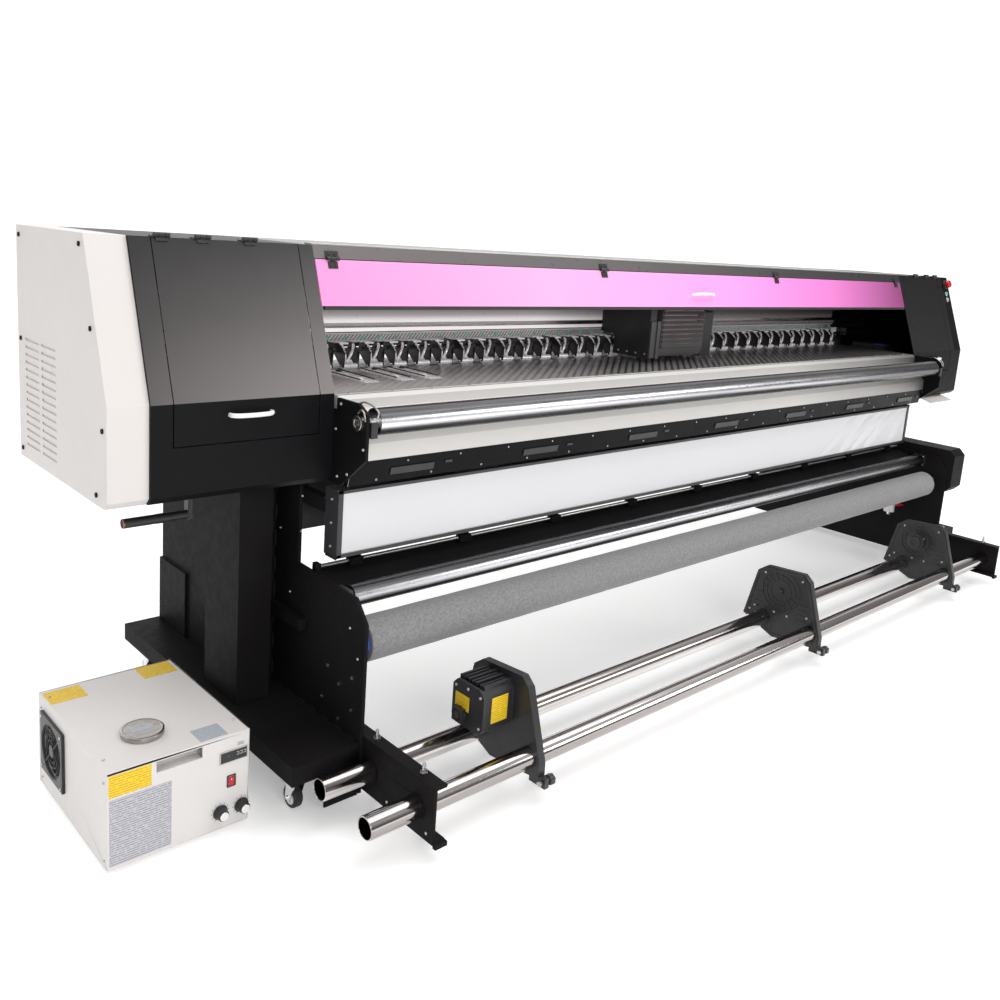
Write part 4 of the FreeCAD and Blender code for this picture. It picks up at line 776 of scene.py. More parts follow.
def apron_details():
    """Screws and recessed pulls along the black channel."""
    piece = Piece("channel_fittings", "frame", "steel dark plastic", 0.4, "steel")
    for n in range(18):
        x = -1600 + n * 188
        piece.screw((x, -490, 822), (0, -1, 0), 3.6, 0)
        piece.screw((x + 94, -503.5, 868), (0, -1, 0), 3.0, 0)
    for n in range(7):
        x = -1560 + n * 500
        piece.prism([(-502, 852), (-498, 832), (-494, 832), (-499, 853)], x, x + 150, 2)
        piece.box(x + 190, x + 214, -502, -495, 846, 853, 1)
    piece.done()


# ---- light box, feed rollers -----------------------------------------------
def film():
    """White film stretched in the tray, with slanting creases near its right end."""
    x0, y0, z0, x1, y1, z1 = [v / 1000 for v in mm("light_box_film")]
    across, up = 340, 22
    mesh = bpy.data.meshes.new("film")
    points, faces = [], []
    y = (y0 + y1) / 2
    for j in range(up + 1):
        for i in range(across + 1):
            x, z = x0 + (x1 - x0) * i / across, z0 + (z1 - z0) * j / up
            edge = min(1, 6 * (z - z0) / (z1 - z0), 6 * (z1 - z) / (z1 - z0))
            crease = 0
            for place, lean, depth in ((0.86, 1.5, 0.8), (1.02, 1.6, 1.3), (1.13, 1.7, 1.0),
                                       (1.26, 1.4, 1.2), (1.50, 0.6, 1.0)):
                off = x - place - (z - z0) * lean
                crease += depth * math.exp(-(off / 0.020) ** 2)
                crease -= 0.7 * depth * math.exp(-((off - 0.045) / 0.028) ** 2)
            slow = 0.6 * math.sin(x * 3.1 + z * 9) + 0.25 * math.sin(x * 11 - z * 17)
            points.append((x, y + 0.001 * edge * (8.0 * crease + 0.5 * slow), z))
    for j in range(up):
        for i in range(across):
            a = j * (across + 1) + i
            faces.append((a, a + 1, a + across + 2, a + across + 1))
    mesh.from_pydata(points, [], faces)
    mesh.materials.append(M["film"])
    piece = bpy.data.objects.new("stretched_film", mesh)
    bpy.context.scene.collection.objects.link(piece)
    for polygon in mesh.polygons:
        polygon.use_smooth = True
    thick = piece.modifiers.new("thick", "SOLIDIFY")
    thick.thickness = 0.0008
    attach(piece, "frame")
    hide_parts("light_box_film")


def light_box_details():
    """Front rim, corner hooks and end screws of the light box."""
    x0, y0, z0, x1, _, z1 = mm("light_box_frame")
    piece = Piece("light_box_trim", "frame", "dark steel satin", 0.6, "black_coat")
    for low, high in ((z0, z0 + 9), (z1 - 9, z1)):
        piece.box(x0, x1, y0 - 0.8, y0 + 3.5, low, high, 0)
    for side, x in ((-1, x0), (1, x1)):
        piece.box(x - side * 16, x, y0 - 0.8, y0 + 3.5, z0, z1, 0)
        for z in (z0 + 28, z0 + 94, z0 + 160):
            piece.screw((x, y0 + 30, z), (side, 0, 0), 4.5, 1)
        for z in (z0 - 1, z1 + 1):
            piece.prism([(y0 - 0.8, z - 3), (y0 - 0.8, z + 3), (y0 + 52, z + 3), (y0 + 52, z - 3)],
                        x - side * 1, x + side * 2.4, 0)
    piece.done()


def felt_roll():
    """Felt sleeve on its core, with blue end rings, hubs and journals."""
    _, _, z0, x1, _, z1 = mm("felt_roll")
    y, z, r = FELT_Y, FELT_Z, (z1 - z0) / 2
    roll = Piece("felt_sleeve", "felt roll", "felt blue steel plastic", 1.5, "felt", ["felt_roll"])
    half = HALF - 2
    profile = [(0, 45), (0, r - 3), (2, r - 0.6)]
    profile += [(2 + (2 * half - 4) * n / 60, r - 0.3 + 0.3 * math.sin(n * 2.1)) for n in range(1, 60)]
    profile += [(2 * half - 2, r - 0.6), (2 * half, r - 3), (2 * half, 45)]
    roll.turned(profile, (-half, y, z), (1, 0, 0), 0, 64, True)
    for side in (-1, 1):
        a = side * (half - 2)
        roll.turned([(0, 45), (7, 45), (9, 42), (9, 36), (0, 36)], (a, y, z), (side, 0, 0), 1, 48, True)
        roll.turned([(0, 38), (9.5, 37.5), (9.5, 12), (0, 12)], (a, y, z), (side, 0, 0), 3, 48, True)
        roll.turned([(0, 10), (abs(x1) - half + 2, 10)], (a, y, z), (side, 0, 0), 2, 24)
    roll.turned([(0, 44), (2 * half - 4, 44)], (-half + 2, y, z), (1, 0, 0), 3, 40)
    roll.done()


def feed_details():
    """Bearing screws, filter hose ends and the plates' screws."""
    piece = Piece("feed_fittings", "frame", "steel red filter plastic chrome", 0.5, "steel")
    x0, y0, z0, _, _, _ = mm("air_filter")
    for dy, dz in ((-30, 40), (-44, 36), (-58, 44)):
        piece.rod((x0 - 4, y0 + 22 + dy, z0 + 30 + dz), (x0 + 26, y0 + 16 + dy, z0 + 26 + dz), 4, 1, 12)
    piece.wire([(x0 + 14, y0 + 22, z0 + 60), (x0 - 2, y0 + 6, z0 + 66), (x0 - 14, y0 - 20, z0 + 76),
                (x0 - 16, y0 - 44, z0 + 82)], 4.5, 1, 10)
    piece.turned([(0, 27.5), (4, 29), (9, 29), (12, 27)], (1680, -430, 303), (0, 0, 1), 4, 32)
    piece.turned([(0, 9), (16, 9), (18, 6)], (1680, -430, 236), (0, 0, -1), 4, 20)
    for side in (-1, 1):
        inner = side * 1704
        for y, z, s in ((IDLE_Y, IDLE_Z, 20), (FELT_Y, FELT_Z, 27)):
            for dy, dz in ((-s, -s), (-s, s), (s, -s), (s, s)):
                piece.screw((inner, y + dy, z + dz), (-side, 0, 0), 3.6, 0)
    piece.done()


# ---- legs and casters ------------------------------------------------------
def leg_details():
    """Weld beads, seam strips and screws on the outer faces of the legs."""
    piece = Piece("leg_fittings", "frame", "leg steel plastic", 0.6, "black_coat")
    for side in (-1, 1):
        face = side * 1738
        for n in range(8):
            piece.turned([(0, 5), (14, 6.5), (34, 6), (46, 3)], (face, -212, 190 + n * 78), (0, 0, 1), 0,
                         10)
        for n in range(7):
            piece.turned([(0, 4), (16, 5.5), (40, 3)], (face, -640 + n * 62, 174), (0, 1, 0), 0, 10)
        for y, z in ((-350, 760), (-350, 660), (-240, 640), (-300, 470), (-600, 470), (-640, 400)):
            piece.screw((face, y, z), (side, 0, 0), 4.2, 1)
        piece.box(side * 1802, side * 1900, -307.2, -305.6, 178, 808, 0)
    piece.done()


def casters():
    """Rubber treads on white hubs."""
    for side in ("left", "right"):
        for place in ("front", "rear"):
            node = "caster_wheel_%s_%s" % (place, side)
            x0, _, z0, x1, _, z1 = mm(node)
            at = centre(node)
            w, r = (x1 - x0) / 2, (z1 - z0) / 2
            wheel = Piece("wheel_%s_%s" % (place, side), "%s wheel %s" % (place, side),
                          "rubber white_gloss steel", 0.4,
                          "rubber", [node])
            tread = [(-w, r - 9), (-w, r - 4), (-w + 3, r - 0.6), (-w + 6, r), (w - 6, r), (w - 3, r - 0.6),
                     (w, r - 4), (w, r - 9)]
            wheel.turned(tread, at, (1, 0, 0), 0, 48, True)
            hub = [(-w + 1, r - 9.5), (-w + 3, r - 12), (-w + 3, 10), (-w, 9), (-w, 5.4), (w, 5.4), (w, 9),
                   (w - 3, 10),
                   (w - 3, r - 12), (w - 1, r - 9.5)]
            wheel.turned(hub, at, (1, 0, 0), 1, 48, True)
            wheel.done()


def end_handle():
    """Cap ring and knurl on the lift lever's grip."""
    x0, _, z0, _, _, _ = mm("lift_lever")
    y, z = -250, z0 + 12
    grip = Piece("lever_grip", "lift lever", "plastic copper", 0.5, "steel")
    grip.turned([(0, 12.3), (80, 12.3), (82, 12.8), (120, 12.8), (121, 12.3)], (x0 + 2, y, z), (1, 0, 0), 0,
                28)
    grip.turned([(0, 12.6), (3, 12.6), (4, 10.5), (-2, 10.5)], (x0 + 1, y, z), (-1, 0, 0), 1, 28, True)
    grip.done()


# ---- take-up ---------------------------------------------------------------
def web_side(piece, x, side, mat):
    """Raised rim, ring ribs and a lattice of webs on one face of a holder plate."""
    outline = [(-616, 108), (-657, 288), (-692, 314), (-846, 326), (-872, 303), (-933, 110), (-933, 76),
               (-898, 68), (-748, 52)]
    face = x + side * PLATE
    heart = Vector((-770, 190))
    inner, outer = ([tuple(heart + (Vector(p) - heart) * k) for p in outline] for k in (0.93, 0.995))
    for n in range(len(outline)):
        k = (n + 1) % len(outline)
        piece.prism([outer[n], outer[k], inner[k], inner[n]], face, face + side * 3, mat)
    for radius in (44, 62, 80):
        piece.turned([(0, radius), (2.6, radius), (2.6, radius - 3), (0, radius - 3)], (face, *CHUCK_AXIS),
                     (side, 0, 0), mat, 48, True)
    for a in angles(16):
        u = Vector((math.cos(a), math.sin(a)))
        v = Vector((-u.y, u.x)) * 1.4
        a0, a1 = Vector(CHUCK_AXIS) + u * 44, Vector(CHUCK_AXIS) + u * 80
        piece.prism([tuple(a0 - v), tuple(a1 - v), tuple(a1 + v), tuple(a0 + v)], face, face + side * 2.2,
                    mat)
    for n in range(9):
        y = -905 + n * 33
        piece.prism([(y, 150 - abs(y + 770) * 0.12), (y + 3, 150 - abs(y + 770) * 0.12), (y + 3, 66),
                     (y, 66)] if -760 < y < -735
                    else [(y, 156), (y + 3, 156), (y + 3, 148), (y, 148)], face, face + side * 2, mat)
    for z in (150, 170, 190, 210):
        reach = (z - 104) * 0.23
        piece.prism([(-640 - reach, z), (-640 - reach, z + 3), (-685, z + 3), (-685, z)], face,
                    face + side * 2, mat)
        piece.prism([(-838, z), (-838, z + 3), (-918 + reach, z + 3), (-918 + reach, z)], face,
                    face + side * 2, mat)
    for y, z in ((-690, 292), (-846, 302), (-660, 150), (-800, 150), (-745, 150), (-880, 170), (-905, 92),
                 (-640, 130)):
        piece.screw((face + side * 2, y, z), (side, 0, 0), 4.5, mat + 1)


def holders():
    """Details of the three roll holders; the first carries the motor."""
    for n in (1, 2, 3):
        body = "roll holder %d" % n
        x = mm("holder_%d" % n)[3] - PLATE
        webs = Piece("holder_webs_%d" % n, body, "web steel yellow chrome", 0.3, "black_plastic")
        for side in (-1, 1):
            if not (n == 1 and side < 0):
                web_side(webs, x, side, 0)
        webs.turned([(0, 16), (0.8, 16), (1.0, 15), (1.0, 0.5)], (x + 4, -905.5, 190), (0, -1, 0.29), 2, 24)
        webs.done()
        if n == 1:
            motor(x)
        if n == 3:
            lever = Piece("holder_lever", body, "yellow plastic", 1.2, "black_plastic")
            lever.wire([(x + 22, -880, 150), (x + 24, -884, 176), (x + 24, -884, 206), (x + 22, -880, 226)],
                       7, 0, 12, 0.6)
            lever.rod((x + 12, -876, 158), (x + 22, -880, 158), 6, 1)
            lever.done()


def motor(x):
    """Finned gear motor with its cover plate, cable gland and two plain yellow labels."""
    face = x - PLATE
    body = Piece("winder_motor", "roll holder 1", "plastic web yellow_label steel yellow", 1.4,
                 "black_plastic")
    y, z = CHUCK_AXIS
    core = [(y - 62, z - 44), (y - 44, z - 62), (y + 44, z - 62), (y + 62, z - 44), (y + 62, z + 44),
            (y + 44, z + 62),
            (y - 44, z + 62), (y - 62, z + 44)]
    body.prism(core, face - 104, face, 0)
    cover = [(y + (b - y) * 1.03, z + (c - z) * 1.03) for b, c in core]
    body.prism(cover, face - 112.6, face - 103, 0)
    body.prism(cover, face - 8, face - 0.2, 0)
    for n in range(7):
        fin = y - 50 + n * 16
        body.box(face - 100, face - 10, fin, fin + 5, z + 60, z + 71.5, 0)
    body.box(face - 82, face - 24, y - 63.4, y - 61, z - 34, z + 40, 2)
    body.box(face - 114.2, face - 112, y - 6, y + 50, z - 16, z + 26, 2)
    for dy, dz in ((-50, 44), (50, 44), (-50, -44), (50, -44), (0, 50)):
        body.screw((face - 112.6, y + dy, z + dz), (-1, 0, 0), 4.6, 3)
    body.turned([(0, 22), (5, 22), (8, 18), (16, 17), (16, 12), (6, 12)], (face - 112, y + 25, z - 30),
                (-1, 0, 0), 0, 32)
    for pin in circle(y + 25, z - 30, 6, [math.pi / 4 + a for a in angles(4)]):
        body.turned([(0, 2.6), (4, 2.6), (5, 1.2)], (face - 118, *pin), (-1, 0, 0), 3, 12)
    body.done()


def knobs_and_hubs():
    """Star knobs that lock the holders, and the core chucks."""
    for n in (1, 2, 3):
        x0, _, _, x1, _, _ = mm("clamp_knob_%d" % n)
        _, y, z = centre("clamp_knob_%d" % n)
        knob = Piece("star_knob_%d" % n, "clamp knob %d" % n, "plastic steel", 0.6, "black_plastic",
                     ["clamp_knob_%d" % n])
        loops = []
        for along, k in ((0, 0.8), (2, 0.98), (16, 1.0), (19, 0.9), (20, 0.6)):
            loops.append([(x1 - 20 + along, *p) for p in fluted(y, z, 15.8 * k, 0.12, 6, 72)])
        knob.skin(loops, 0)
        knob.rod((x0 + 1, y, z), (x1 - 18, y, z), 4, 1)
        knob.turned([(0, 8), (8, 8)], (x0, y, z), (1, 0, 0), 1, 6)
        knob.done()
        x0, _, _, x1, _, _ = mm("chuck_%d" % n)
        _, y, z = centre("chuck_%d" % n)
        side = -1 if n == 3 else 1
        start = x0 if side > 0 else x1
        hub = Piece("core_hub_%d" % n, "core chuck %d" % n, "plastic web chrome", 0.7, "aluminium",
                    ["chuck_%d" % n])
        profile = [(0, 9), (1.5, 10), (32.8, 10), (33, 47), (34, 48), (38, 48), (39, 46), (39, 37.4),
                   (41, 38), (73, 38), (74, 36.5),
                   (74, 28), (86, 27), (88, 24), (88, 11), (84, 10), (84, 0.5)]
        hub.turned(profile, (start, y, z), (side, 0, 0), 0, 56)
        for a in angles(3):
            c, s = math.cos(a + 0.5), math.sin(a + 0.5)
            hub.turned([(0, 4), (2, 3.5), (2.5, 1)], (start + side * 56, y + 37.6 * c, z + 37.6 * s),
                       (0, c, s), 2, 12)
        hub.done()


def takeup_details():
    """Set screws, tube rings and bolts of the take-up arms."""
    piece = Piece("takeup_fittings", "frame", "steel leg plastic", 0.5, "steel")
    for side in (-1, 1):
        for y in (-700, -895):
            piece.turned([(0, 9.5), (2, 10), (6, 10), (7, 8), (7, 4.6), (28, 4.4), (29, 3)],
                         (side * 1709, y, 195), (0, 0, 1), 0, 6)
            piece.turned([(0, 34), (3, 34), (3, 30.4), (0, 30.4)], (side * 1728, y, 114), (side, 0, 0), 1,
                         40, True)
        for y in (-640, -780, -840, -940):
            piece.screw((side * 1728, y, 66), (side, 0, 0), 4, 0)
    piece.done()


def switches():
    """Emergency stop, start button and a lamp, with bezels."""
    x = 2190 + 48.5
    plate = Piece("switch_bezels", "frame", "plastic steel trim", 0.4, "black_plastic", ["switch_panel"])
    for z, r, mat in ((1388, 23.5, 0), (1342, 12.8, 1), (1312, 12.8, 1)):
        plate.place = on_slope(x, z, -8)
        depth = 12 if r > 20 else 6
        hole = 11.2 if r > 20 else 8.2
        plate.turned([(0, r), (depth - 2, r), (depth, r - 2), (depth, hole), (0, hole)], (0, 0, 0),
                     (0, -1, 0), mat, 40, True)
    plate.turned([(2, 8), (8, 7.8), (9.5, 6), (9.5, 0.5)], (0, 0, 0), (0, -1, 0), 2, 28)
    plate.done()
    head = Piece("stop_head", "emergency stop", "red plastic", 0.6, "red_plastic", ["estop"])
    head.place = on_slope(x, 1388, -8)
    head.turned([(6, 11), (18, 11), (18, 19), (21, 20), (30, 20), (33.5, 17), (34, 10), (34, 0.5)],
                (0, 0, 0), (0, -1, 0), 0, 40)
    for u, v in circle(0, 0, 12, angles(3)):
        head.box(u - 2, u + 2, -34.6, -33, v - 4, v + 4, 1)
    head.done()
    button = Piece("start_head", "start button", "green", 0.4, "green_plastic", ["start_button"])
    button.place = on_slope(x, 1342, -8)
    button.turned([(4, 8), (8.4, 7.8), (9.4, 6.5), (8.8, 0.5)], (0, 0, 0), (0, -1, 0), 0, 28)
    button.done()


# ---- water cooler ----------------------------------------------------------
FAN_HOLE = 68                # radius


def cooler():
    """Sheet case with its grip recess, front panel, ruled labels and fan guard."""
    x0, y0, _, x1, y1, z1 = mm("cooler_case")
    x0, y0 = x0 + 8, y0 + 3
    box = Piece("cooler_body", "cooler", "case plastic steel rubber cream", 2.2, "white_coat",
                ["cooler_case"])
    feet, wall = 12, 3
    gx0, gx1, gz0, gz1 = -2232, -2120, z1 - 44, z1 - 16
    lid = z1 - 6
    fan = (x0, -215, 147)
    box.box(x0, x1, y1 - wall, y1, feet, lid, 0)
    box.box(x1 - wall, x1, y0, y1 - wall, feet, lid, 0)
    box.box(x0, x1 - wall, y0, y1 - wall, feet, feet + wall, 0)
    outer = [(x0, feet + wall), (x1 - wall, feet + wall), (x1 - wall, lid - 2), (x0, lid - 2)]
    hole = [(gx0, gz0), (gx1, gz0), (gx1, gz1), (gx0, gz1)]
    box.skin([[(x, y, z) for x, z in loop] for loop, y in ((outer, y0), (hole, y0), (hole, y0 + wall),
            (outer, y0 + wall))], 0,
             closed=True)
    turns = angles(48)
    for dy in (y0 + wall - fan[1], y1 - wall - fan[1]):
        for dz in (feet + wall - fan[2], lid - 2.5 - fan[2]):
            corner = math.atan2(dz, dy) % (2 * math.pi)
            turns[round(corner * 24 / math.pi) % 48] = corner
    rim = circle(*fan[1:], FAN_HOLE, turns)
    square = squared(rim, *fan[1:], y0 + wall, y1 - wall, feet + wall, lid - 2.5)
    box.skin([[(x, *p) for p in loop] for x, loop in ((x0, square), (x0, rim), (x0 + wall, rim),
                                                      (x0 + wall, square))], 0, closed=True)
    box.box(x0 + 0.05, x1, y0, y1, lid - 8, lid, 0)
    cup = 3
    box.box(gx0 - cup, gx1 + cup, y0 + 30, y0 + 32, gz0 - cup, gz1 + cup, 4)
    box.box(gx0 - cup, gx1 + cup, y0 + wall, y0 + 31, gz0 - cup, gz0, 4)
    box.box(gx0 - cup, gx1 + cup, y0 + wall, y0 + 31, gz1, gz1 + cup, 4)
    for x in (gx0 - cup, gx1):
        box.box(x, x + cup, y0 + wall, y0 + 31, gz0, gz1, 4)
    for x in (x0 + 40, x1 - 40):
        for y in (y0 + 40, y1 - 40):
            box.turned([(0, 11), (2, 13), (10, 13), (12, 10)], (x, y, 0), (0, 0, 1), 3, 28)
    for x, y, z, axis in ((x0 + 14, y0 + 60, lid, (0, 0, 1)), (x1 - 14, y0 + 60, lid, (0, 0, 1)),
                          (x0 + 14, y1 - 40, lid, (0, 0, 1)),
                          (x1 - 14, y1 - 40, lid, (0, 0, 1)), (x0, y0 + 20, 30, (-1, 0, 0)), (x0, y0 + 20,
                                  225, (-1, 0, 0)),
                          (x0, y1 - 20, 225, (-1, 0, 0)), (x0, y1 - 20, 30, (-1, 0, 0))):
        box.screw((x, y, z), axis, 3.6, 2)
    box.turned([(0, 30), (6, 30), (6, 26), (-3, 26)], (-2215, -443, lid), (0, 0, 1), 2, 48, True)
    box.done()
    front = Piece("cooler_front", "cooler", "glass trim yellow_label grey_label plastic steel red green",
                  0.4, "black_plastic")
    for xa, xb, rise, sunk, za, zb, mat in (
            (-2077, -2003, 2.2, 0, 184, 216, 1), (-2074, -2006, 3, 2, 187, 213, 0), (-2056, -2053, 3.2, 2.8,
                    200, 203, 6),
            (-2342, -2244, 0.5, 0, 194, 248, 2), (-2341, -2196, 0.5, 0, 22, 188, 3), (-2030, -2012, 0.4, 0,
                    222, 230, 3)):
        front.box(xa, xb, y0 - rise, y0 - sunk, za, zb, mat)
    for n in range(3):
        seg = -2033 + n * 9
        front.box(seg, seg + 5, y0 - 3.2, y0 - 2.8, 206, 207.5, 1)
        front.box(seg, seg + 5, y0 - 3.2, y0 - 2.8, 199, 200.5, 1)
        front.box(seg + 5, seg + 6.4, y0 - 3.2, y0 - 2.8, 199, 207, 1)
    for x in (-2073, -2017):
        for k in range(11):
            t = math.radians(-150 + k * 30)
            front.turned([(0, 1.2), (0.5, 1.1)], (x + 22.5 * math.sin(t), y0, 58 + 22.5 * math.cos(t)),
                         (0, -1, 0), 4, 8)
    for z in (117.5, 146):
        front.box(-2056.5, -2033.5, y0 - 2.4, y0 + 6, z, z + 2.5, 4)
    for x in (-2056.5, -2036.6):
        front.box(x, x + 3.1, y0 - 2.4, y0 + 6, 119, 147, 4)
    front.done()
    top = Piece("cooler_labels", "cooler", "yellow_flat grey_flat", 0.1, "white_coat")
    for xa, xb, ya, yb, mat in ((-2340, -2250, -186, -116, 0), (-2100, -2008, -178, -108, 0),
                                (-2122, -2052, -558, -498, 1)):
        top.box(xa, xb, ya, yb, lid, lid + 0.5, mat)
    top.done()
    fan_guard(fan)


def fan_guard(fan):
    """Square guard with its rings, and the rotor with its blades behind it."""
    x, y, z = fan
    guard = Piece("fan_guard", "cooler", "plastic steel", 0.5, "black_plastic")
    ring = circle(y, z, FAN_HOLE, angles(48))
    square = squared(ring, y, z, y - 78, y + 78, z - 78, z + 78)
    guard.skin([[(a, *p) for p in loop] for a, loop in ((x - 8, square), (x - 8, ring), (x - 0.2, ring),
                                                        (x - 0.2, square))], 0,
               closed=True)
    for radius in (16, 29, 42, 55, 66):
        guard.turned([(-7, radius), (-5.4, radius + 1.3), (-3.8, radius), (-5.4, radius - 1.3)], (x, y, z),
                     (1, 0, 0), 0, 56, True)
    for k in range(4):
        t = math.radians(45 + k * 90)
        guard.rod((x - 5.4, y + 12 * math.cos(t), z + 12 * math.sin(t)),
                  (x - 5.4, y + 72 * math.cos(t), z + 72 * math.sin(t)), 1.5, 0, 8)
        guard.screw((x - 8, y + 96 * math.cos(t), z + 96 * math.sin(t)), (-1, 0, 0), 4, 1)
    guard.turned([(-7.4, 15), (-3.6, 15)], (x, y, z), (1, 0, 0), 0, 36)
    guard.turned([(37, 24), (47, 24)], (x, y, z), (1, 0, 0), 0, 36)
    guard.box(x + 37, x + 43, y - 6, y + 6, z - 78, z + 78, 0)
    guard.box(x + 3, x + 43, y - 6, y + 6, z + 72, z + 78, 0)
    guard.box(x + 3, x + 43, y - 6, y + 6, z - 78, z - 72, 0)
    guard.rod((x + 13, y, z), (x + 37, y, z), 4, 1)
    guard.done()
    rotor = Piece("fan_rotor", "cooler fan", "plastic", 0.4, "black_plastic", ["cooler_fan"])
    rotor.turned([(0, 15), (2, 19), (24, 20), (24, 4.2), (0, 4.2)], (x + 7, y, z), (1, 0, 0), 0, 40, True)
    for k in range(7):
        t = 2 * math.pi * k / 7
        rotor.place = Matrix.Translation((x + 19, y, z)) @ Matrix.Rotation(t, 4, "X")
        loops = []
        for r, twist, half in ((17, 0.95, 12), (34, 0.75, 16), (50, 0.6, 18), (61, 0.5, 16)):
            edge = []
            for s, w in ((-1, 0), (-0.3, 0.8), (1, 0), (-0.3, -0.8)):
                a, h = s * half * math.cos(twist), s * half * math.sin(twist) * 0.55
                edge.append((h * 0.9 + w * math.cos(twist), a - w * math.sin(twist), r))
            loops.append(edge)
        rotor.skin(loops, 0)
    rotor.done()


def cooler_controls():
    """Filler cap, two fluted dials and the rocker switch."""
    x, y, _ = centre("cooler_cap")
    z0 = mm("cooler_cap")[2]
    cap = Piece("filler_cap", "cooler cap", "brushed grey_flat", 0.4, "chrome", ["cooler_cap"])
    cap.turned([(0.2, 30.2), (0, 47), (1, 50), (9, 50), (10, 48.5), (11, 50), (12.5, 50), (14, 47.5),
                (14, 45), (13, 43), (13, 0.5),
                (6.4, 0.5), (6.4, 30.2)], (x, y, z0), (0, 0, 1), 0, 72, True)
    cap.box(x - 26, x + 26, y - 9, y + 11, z0 + 12.8, z0 + 13.4, 1)
    cap.done()
    for n in (1, 2):
        name = "cooler_knob_%d" % n
        cx, _, z = centre(name)
        knob = Piece("dial_%d" % n, "cooler knob %d" % n, "plastic chrome white_gloss", 0.4,
                     "black_plastic", [name])
        face = mm(name)[4] - 9
        loops = []
        for along, r, depth in ((1, 18.5, 0), (3, 19, 0), (4, 15.5, 0.05), (22, 14, 0.05),
                                (24, 12.6, 0.02)):
            loops.append([(u, face - along, v) for u, v in fluted(cx, z, r, depth, 24, 96)])
        knob.skin(loops, 0)
        knob.turned([(23.5, 11.5), (25.2, 11.2), (25.8, 10), (25.8, 0.5)], (cx, face, z), (0, -1, 0), 1, 40)
        knob.rod((cx, face - 2, z), (cx, face + 9, z), 3, 1)
        knob.box(cx - 0.8, cx + 0.8, face - 26.1, face - 24.5, z + 3, z + 11, 2)
        knob.done()
    x, _, z = centre("cooler_switch")
    y = -565
    rocker = Piece("rocker", "cooler switch", "red white_gloss", 0.6, "red_plastic", ["cooler_switch"])
    rocker.prism([(y + 2.4, z - 11), (y - 1.9, z - 11.8), (y - 1.2, z - 5), (y - 1, z), (y - 2, z + 6),
                  (y - 4, z + 11), (y + 2.4, z + 11)], x - 8, x + 8, 0)
    rocker.rod((x - 9.8, y + 2.5, z), (x + 9.8, y + 2.5, z), 1.5, 0, 12)
    rocker.box(x - 0.8, x + 0.8, y - 3.2, y - 1, z + 3, z + 8, 1)
    rocker.done()


# ---- CAD nodes that stay ---------------------------------------------------
def dress_all():
    """Materials of the CAD nodes that are shown as they are."""
    dress("head_frames", "satin", 1.2, ("slope", lambda p, n: n.y < -0.5 and n.z > 0.2), limit=12)
    for side in ("left", "right"):
        dress("shell_" + side, "white" if side == "left" else "satin", 1.5, limit=12)
        dress("caster_fork_front_" + side, "chrome", 0.8)
    dress("body_covers", "header", 1.2, ("trim", lambda p, n: p.z > TOP_Z + 0.5),
          ("dark", lambda p, n: p.y > 0 and p.z < TOP_Z - 1), limit=12)
    dress("foot_boxes", "leg", 1.6, ("chrome", lambda p, n: p.z < 120.9 and p.y > -500))
    dress("platen", "platen", 1.0, ("cream", lambda p, n: p.y < -399.5),
          ("steel", lambda p, n: n.z < 0.5 and p.y > -399))
    dress("front_apron", "cream", 0.8, ("satin", lambda p, n: p.z < 879))
    dress("end_brackets", "satin", 1.2, ("chrome", lambda p, n: abs(p.x) > 1700.5))
    dress("upper_beam", "steel", 1.0, ("plastic", lambda p, n: p.y < 39 and p.z < 1124))
    dress("cap_station", "dark", 1.5, ("white", lambda p, n: p.y < -390), ("web", lambda p, n: p.z > 1031))
    dress("feed_guard", "leg", 0.8, ("steel", lambda p, n: math.hypot(p.y + 405,
            p.z - 571) < 6.3 and abs(n.x) < 0.5))
    dress("air_filter", "plastic", 1.2, ("filter", lambda p, n: 234 < p.z < 312 and p.y < -403))
    dress("screws", "steel", 0.6, ("leg", lambda p, n: abs(p.x) > 2250))
    dress("pinch_arms", "plastic", 0.5, ("steel", lambda p, n: math.hypot(p.y - 8, p.z - 1100) < 6.3))
    for node, key, bevel in (
            ("fixed_hinges", "plastic", 0.5), ("leg_plates", "leg", 1.2), ("leg_boxes", "leg", 2.0),
            ("cross_beam", "dark", 1.2), ("light_box_frame", "dark", 1.0), ("takeup_arms", "leg", 1.6),
            ("takeup_tubes", "tube", 1.0), ("roller_bearings", "plastic", 1.5),
            ("pinch_rollers", "bright", 0.5), ("lift_lever", "plastic", 1.0), ("grit_roller", "steel", 0.8),
            ("pressure_roller", "roller", 1.5), ("idle_roller", "idler", 1.5)):
        dress(node, key, bevel)
    for n in (1, 2, 3):
        dress("holder_%d" % n, "plastic", 1.6)


# ---- stage and light -------------------------------------------------------
def make_stage():
    """Round white floor."""
    mesh = bpy.data.meshes.new("floor")
    steps = 96
    rim = [(*p, -0.0005) for p in circle(1, 4, 14, angles(steps))]
    mesh.from_pydata(rim, [], [list(range(steps))])
    mesh.materials.append(Paint("floor", (0.90, 0.90, 0.90), (0.885, 0.885, 0.885), (0.7, 0.8), scale=0.3,
                                Emission_Color=(1, 1, 1, 1), Emission_Strength=0.30).material)
    floor = bpy.data.objects.new("floor", mesh)
    bpy.context.scene.collection.objects.link(floor)


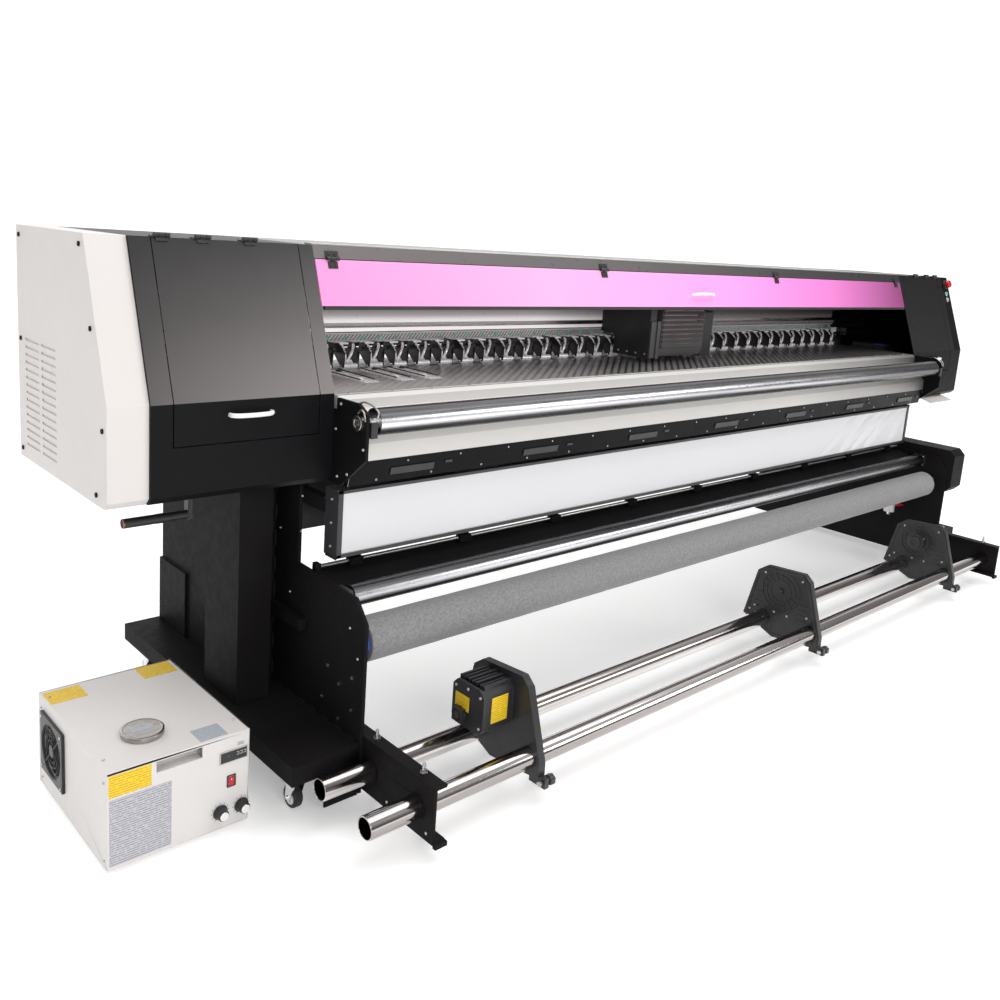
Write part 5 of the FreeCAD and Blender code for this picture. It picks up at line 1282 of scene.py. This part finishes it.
def area(name, at, aim, size, power, colour=(1, 1, 1)):
    data = bpy.data.lights.new(name, "AREA")
    data.shape = "RECTANGLE"
    data.size, data.size_y = size
    data.energy = power
    data.color = colour
    lamp = bpy.data.objects.new(name, data)
    lamp.location = at
    lamp.rotation_euler = (Vector(aim) - Vector(at)).to_track_quat("-Z", "Y").to_euler()
    bpy.context.scene.collection.objects.link(lamp)


def make_light():
    """World that is bright in front and above, and three area lamps."""
    world = bpy.data.worlds.new("studio")
    bpy.context.scene.world = world
    world.use_nodes = True
    tree = world.node_tree
    split = add_node(tree, "SeparateXYZ", {0: add_node(tree, "TexCoord", {})["Generated"]})
    behind, across, above = (
        add_node(tree, "MapRange", {"From Min": low, "From Max": high, "To Min": a, "To Max": b,
                                    "Value": split[axis]},
                 interpolation_type="SMOOTHSTEP")[0]
        for axis, low, high, a, b in (("Y", -0.15, 0.33, 0.0, 1.0), ("X", -0.75, 0.25, 0.72, 1.06),
                                      ("Z", 0.15, 0.85, 0.18, 0.62)))
    sides = add_node(tree, "Math", {0: behind, 1: across}, operation="MULTIPLY")[0]
    total = add_node(tree, "Math", {0: sides, 1: above})[0]
    shade = tree.nodes["Background"]
    shade.inputs["Color"].default_value = (1.0, 0.995, 0.99, 1)
    tree.links.new(total, shade.inputs["Strength"])
    area("overhead", (0.3, -1.6, 4.2), (0, -0.2, 0.6), (5.5, 2.2), 95)
    area("key", (-3.2, -5.4, 3.0), (-0.8, -0.4, 0.8), (2.6, 1.6), 104, (1.0, 0.985, 0.97))
    area("fill", (4.2, -5.2, 2.6), (0.6, -0.3, 0.9), (2.4, 1.6), 66)
    scene = bpy.context.scene
    scene.view_settings.view_transform = "Standard"
    scene.view_settings.look = "None"
    scene.view_settings.exposure = 0.0


make_camera()
make_stage()
make_light()
for build in (doors, vent_backs, window, header_details, beam_details, pinch_details, carriage,
              platen_details,
              media_clamps, bracket_details, apron_details, film, light_box_details, felt_roll, feed_details,
              leg_details, casters, end_handle, holders, knobs_and_hubs, takeup_details, switches, cooler,
              cooler_controls, dress_all):
    build()
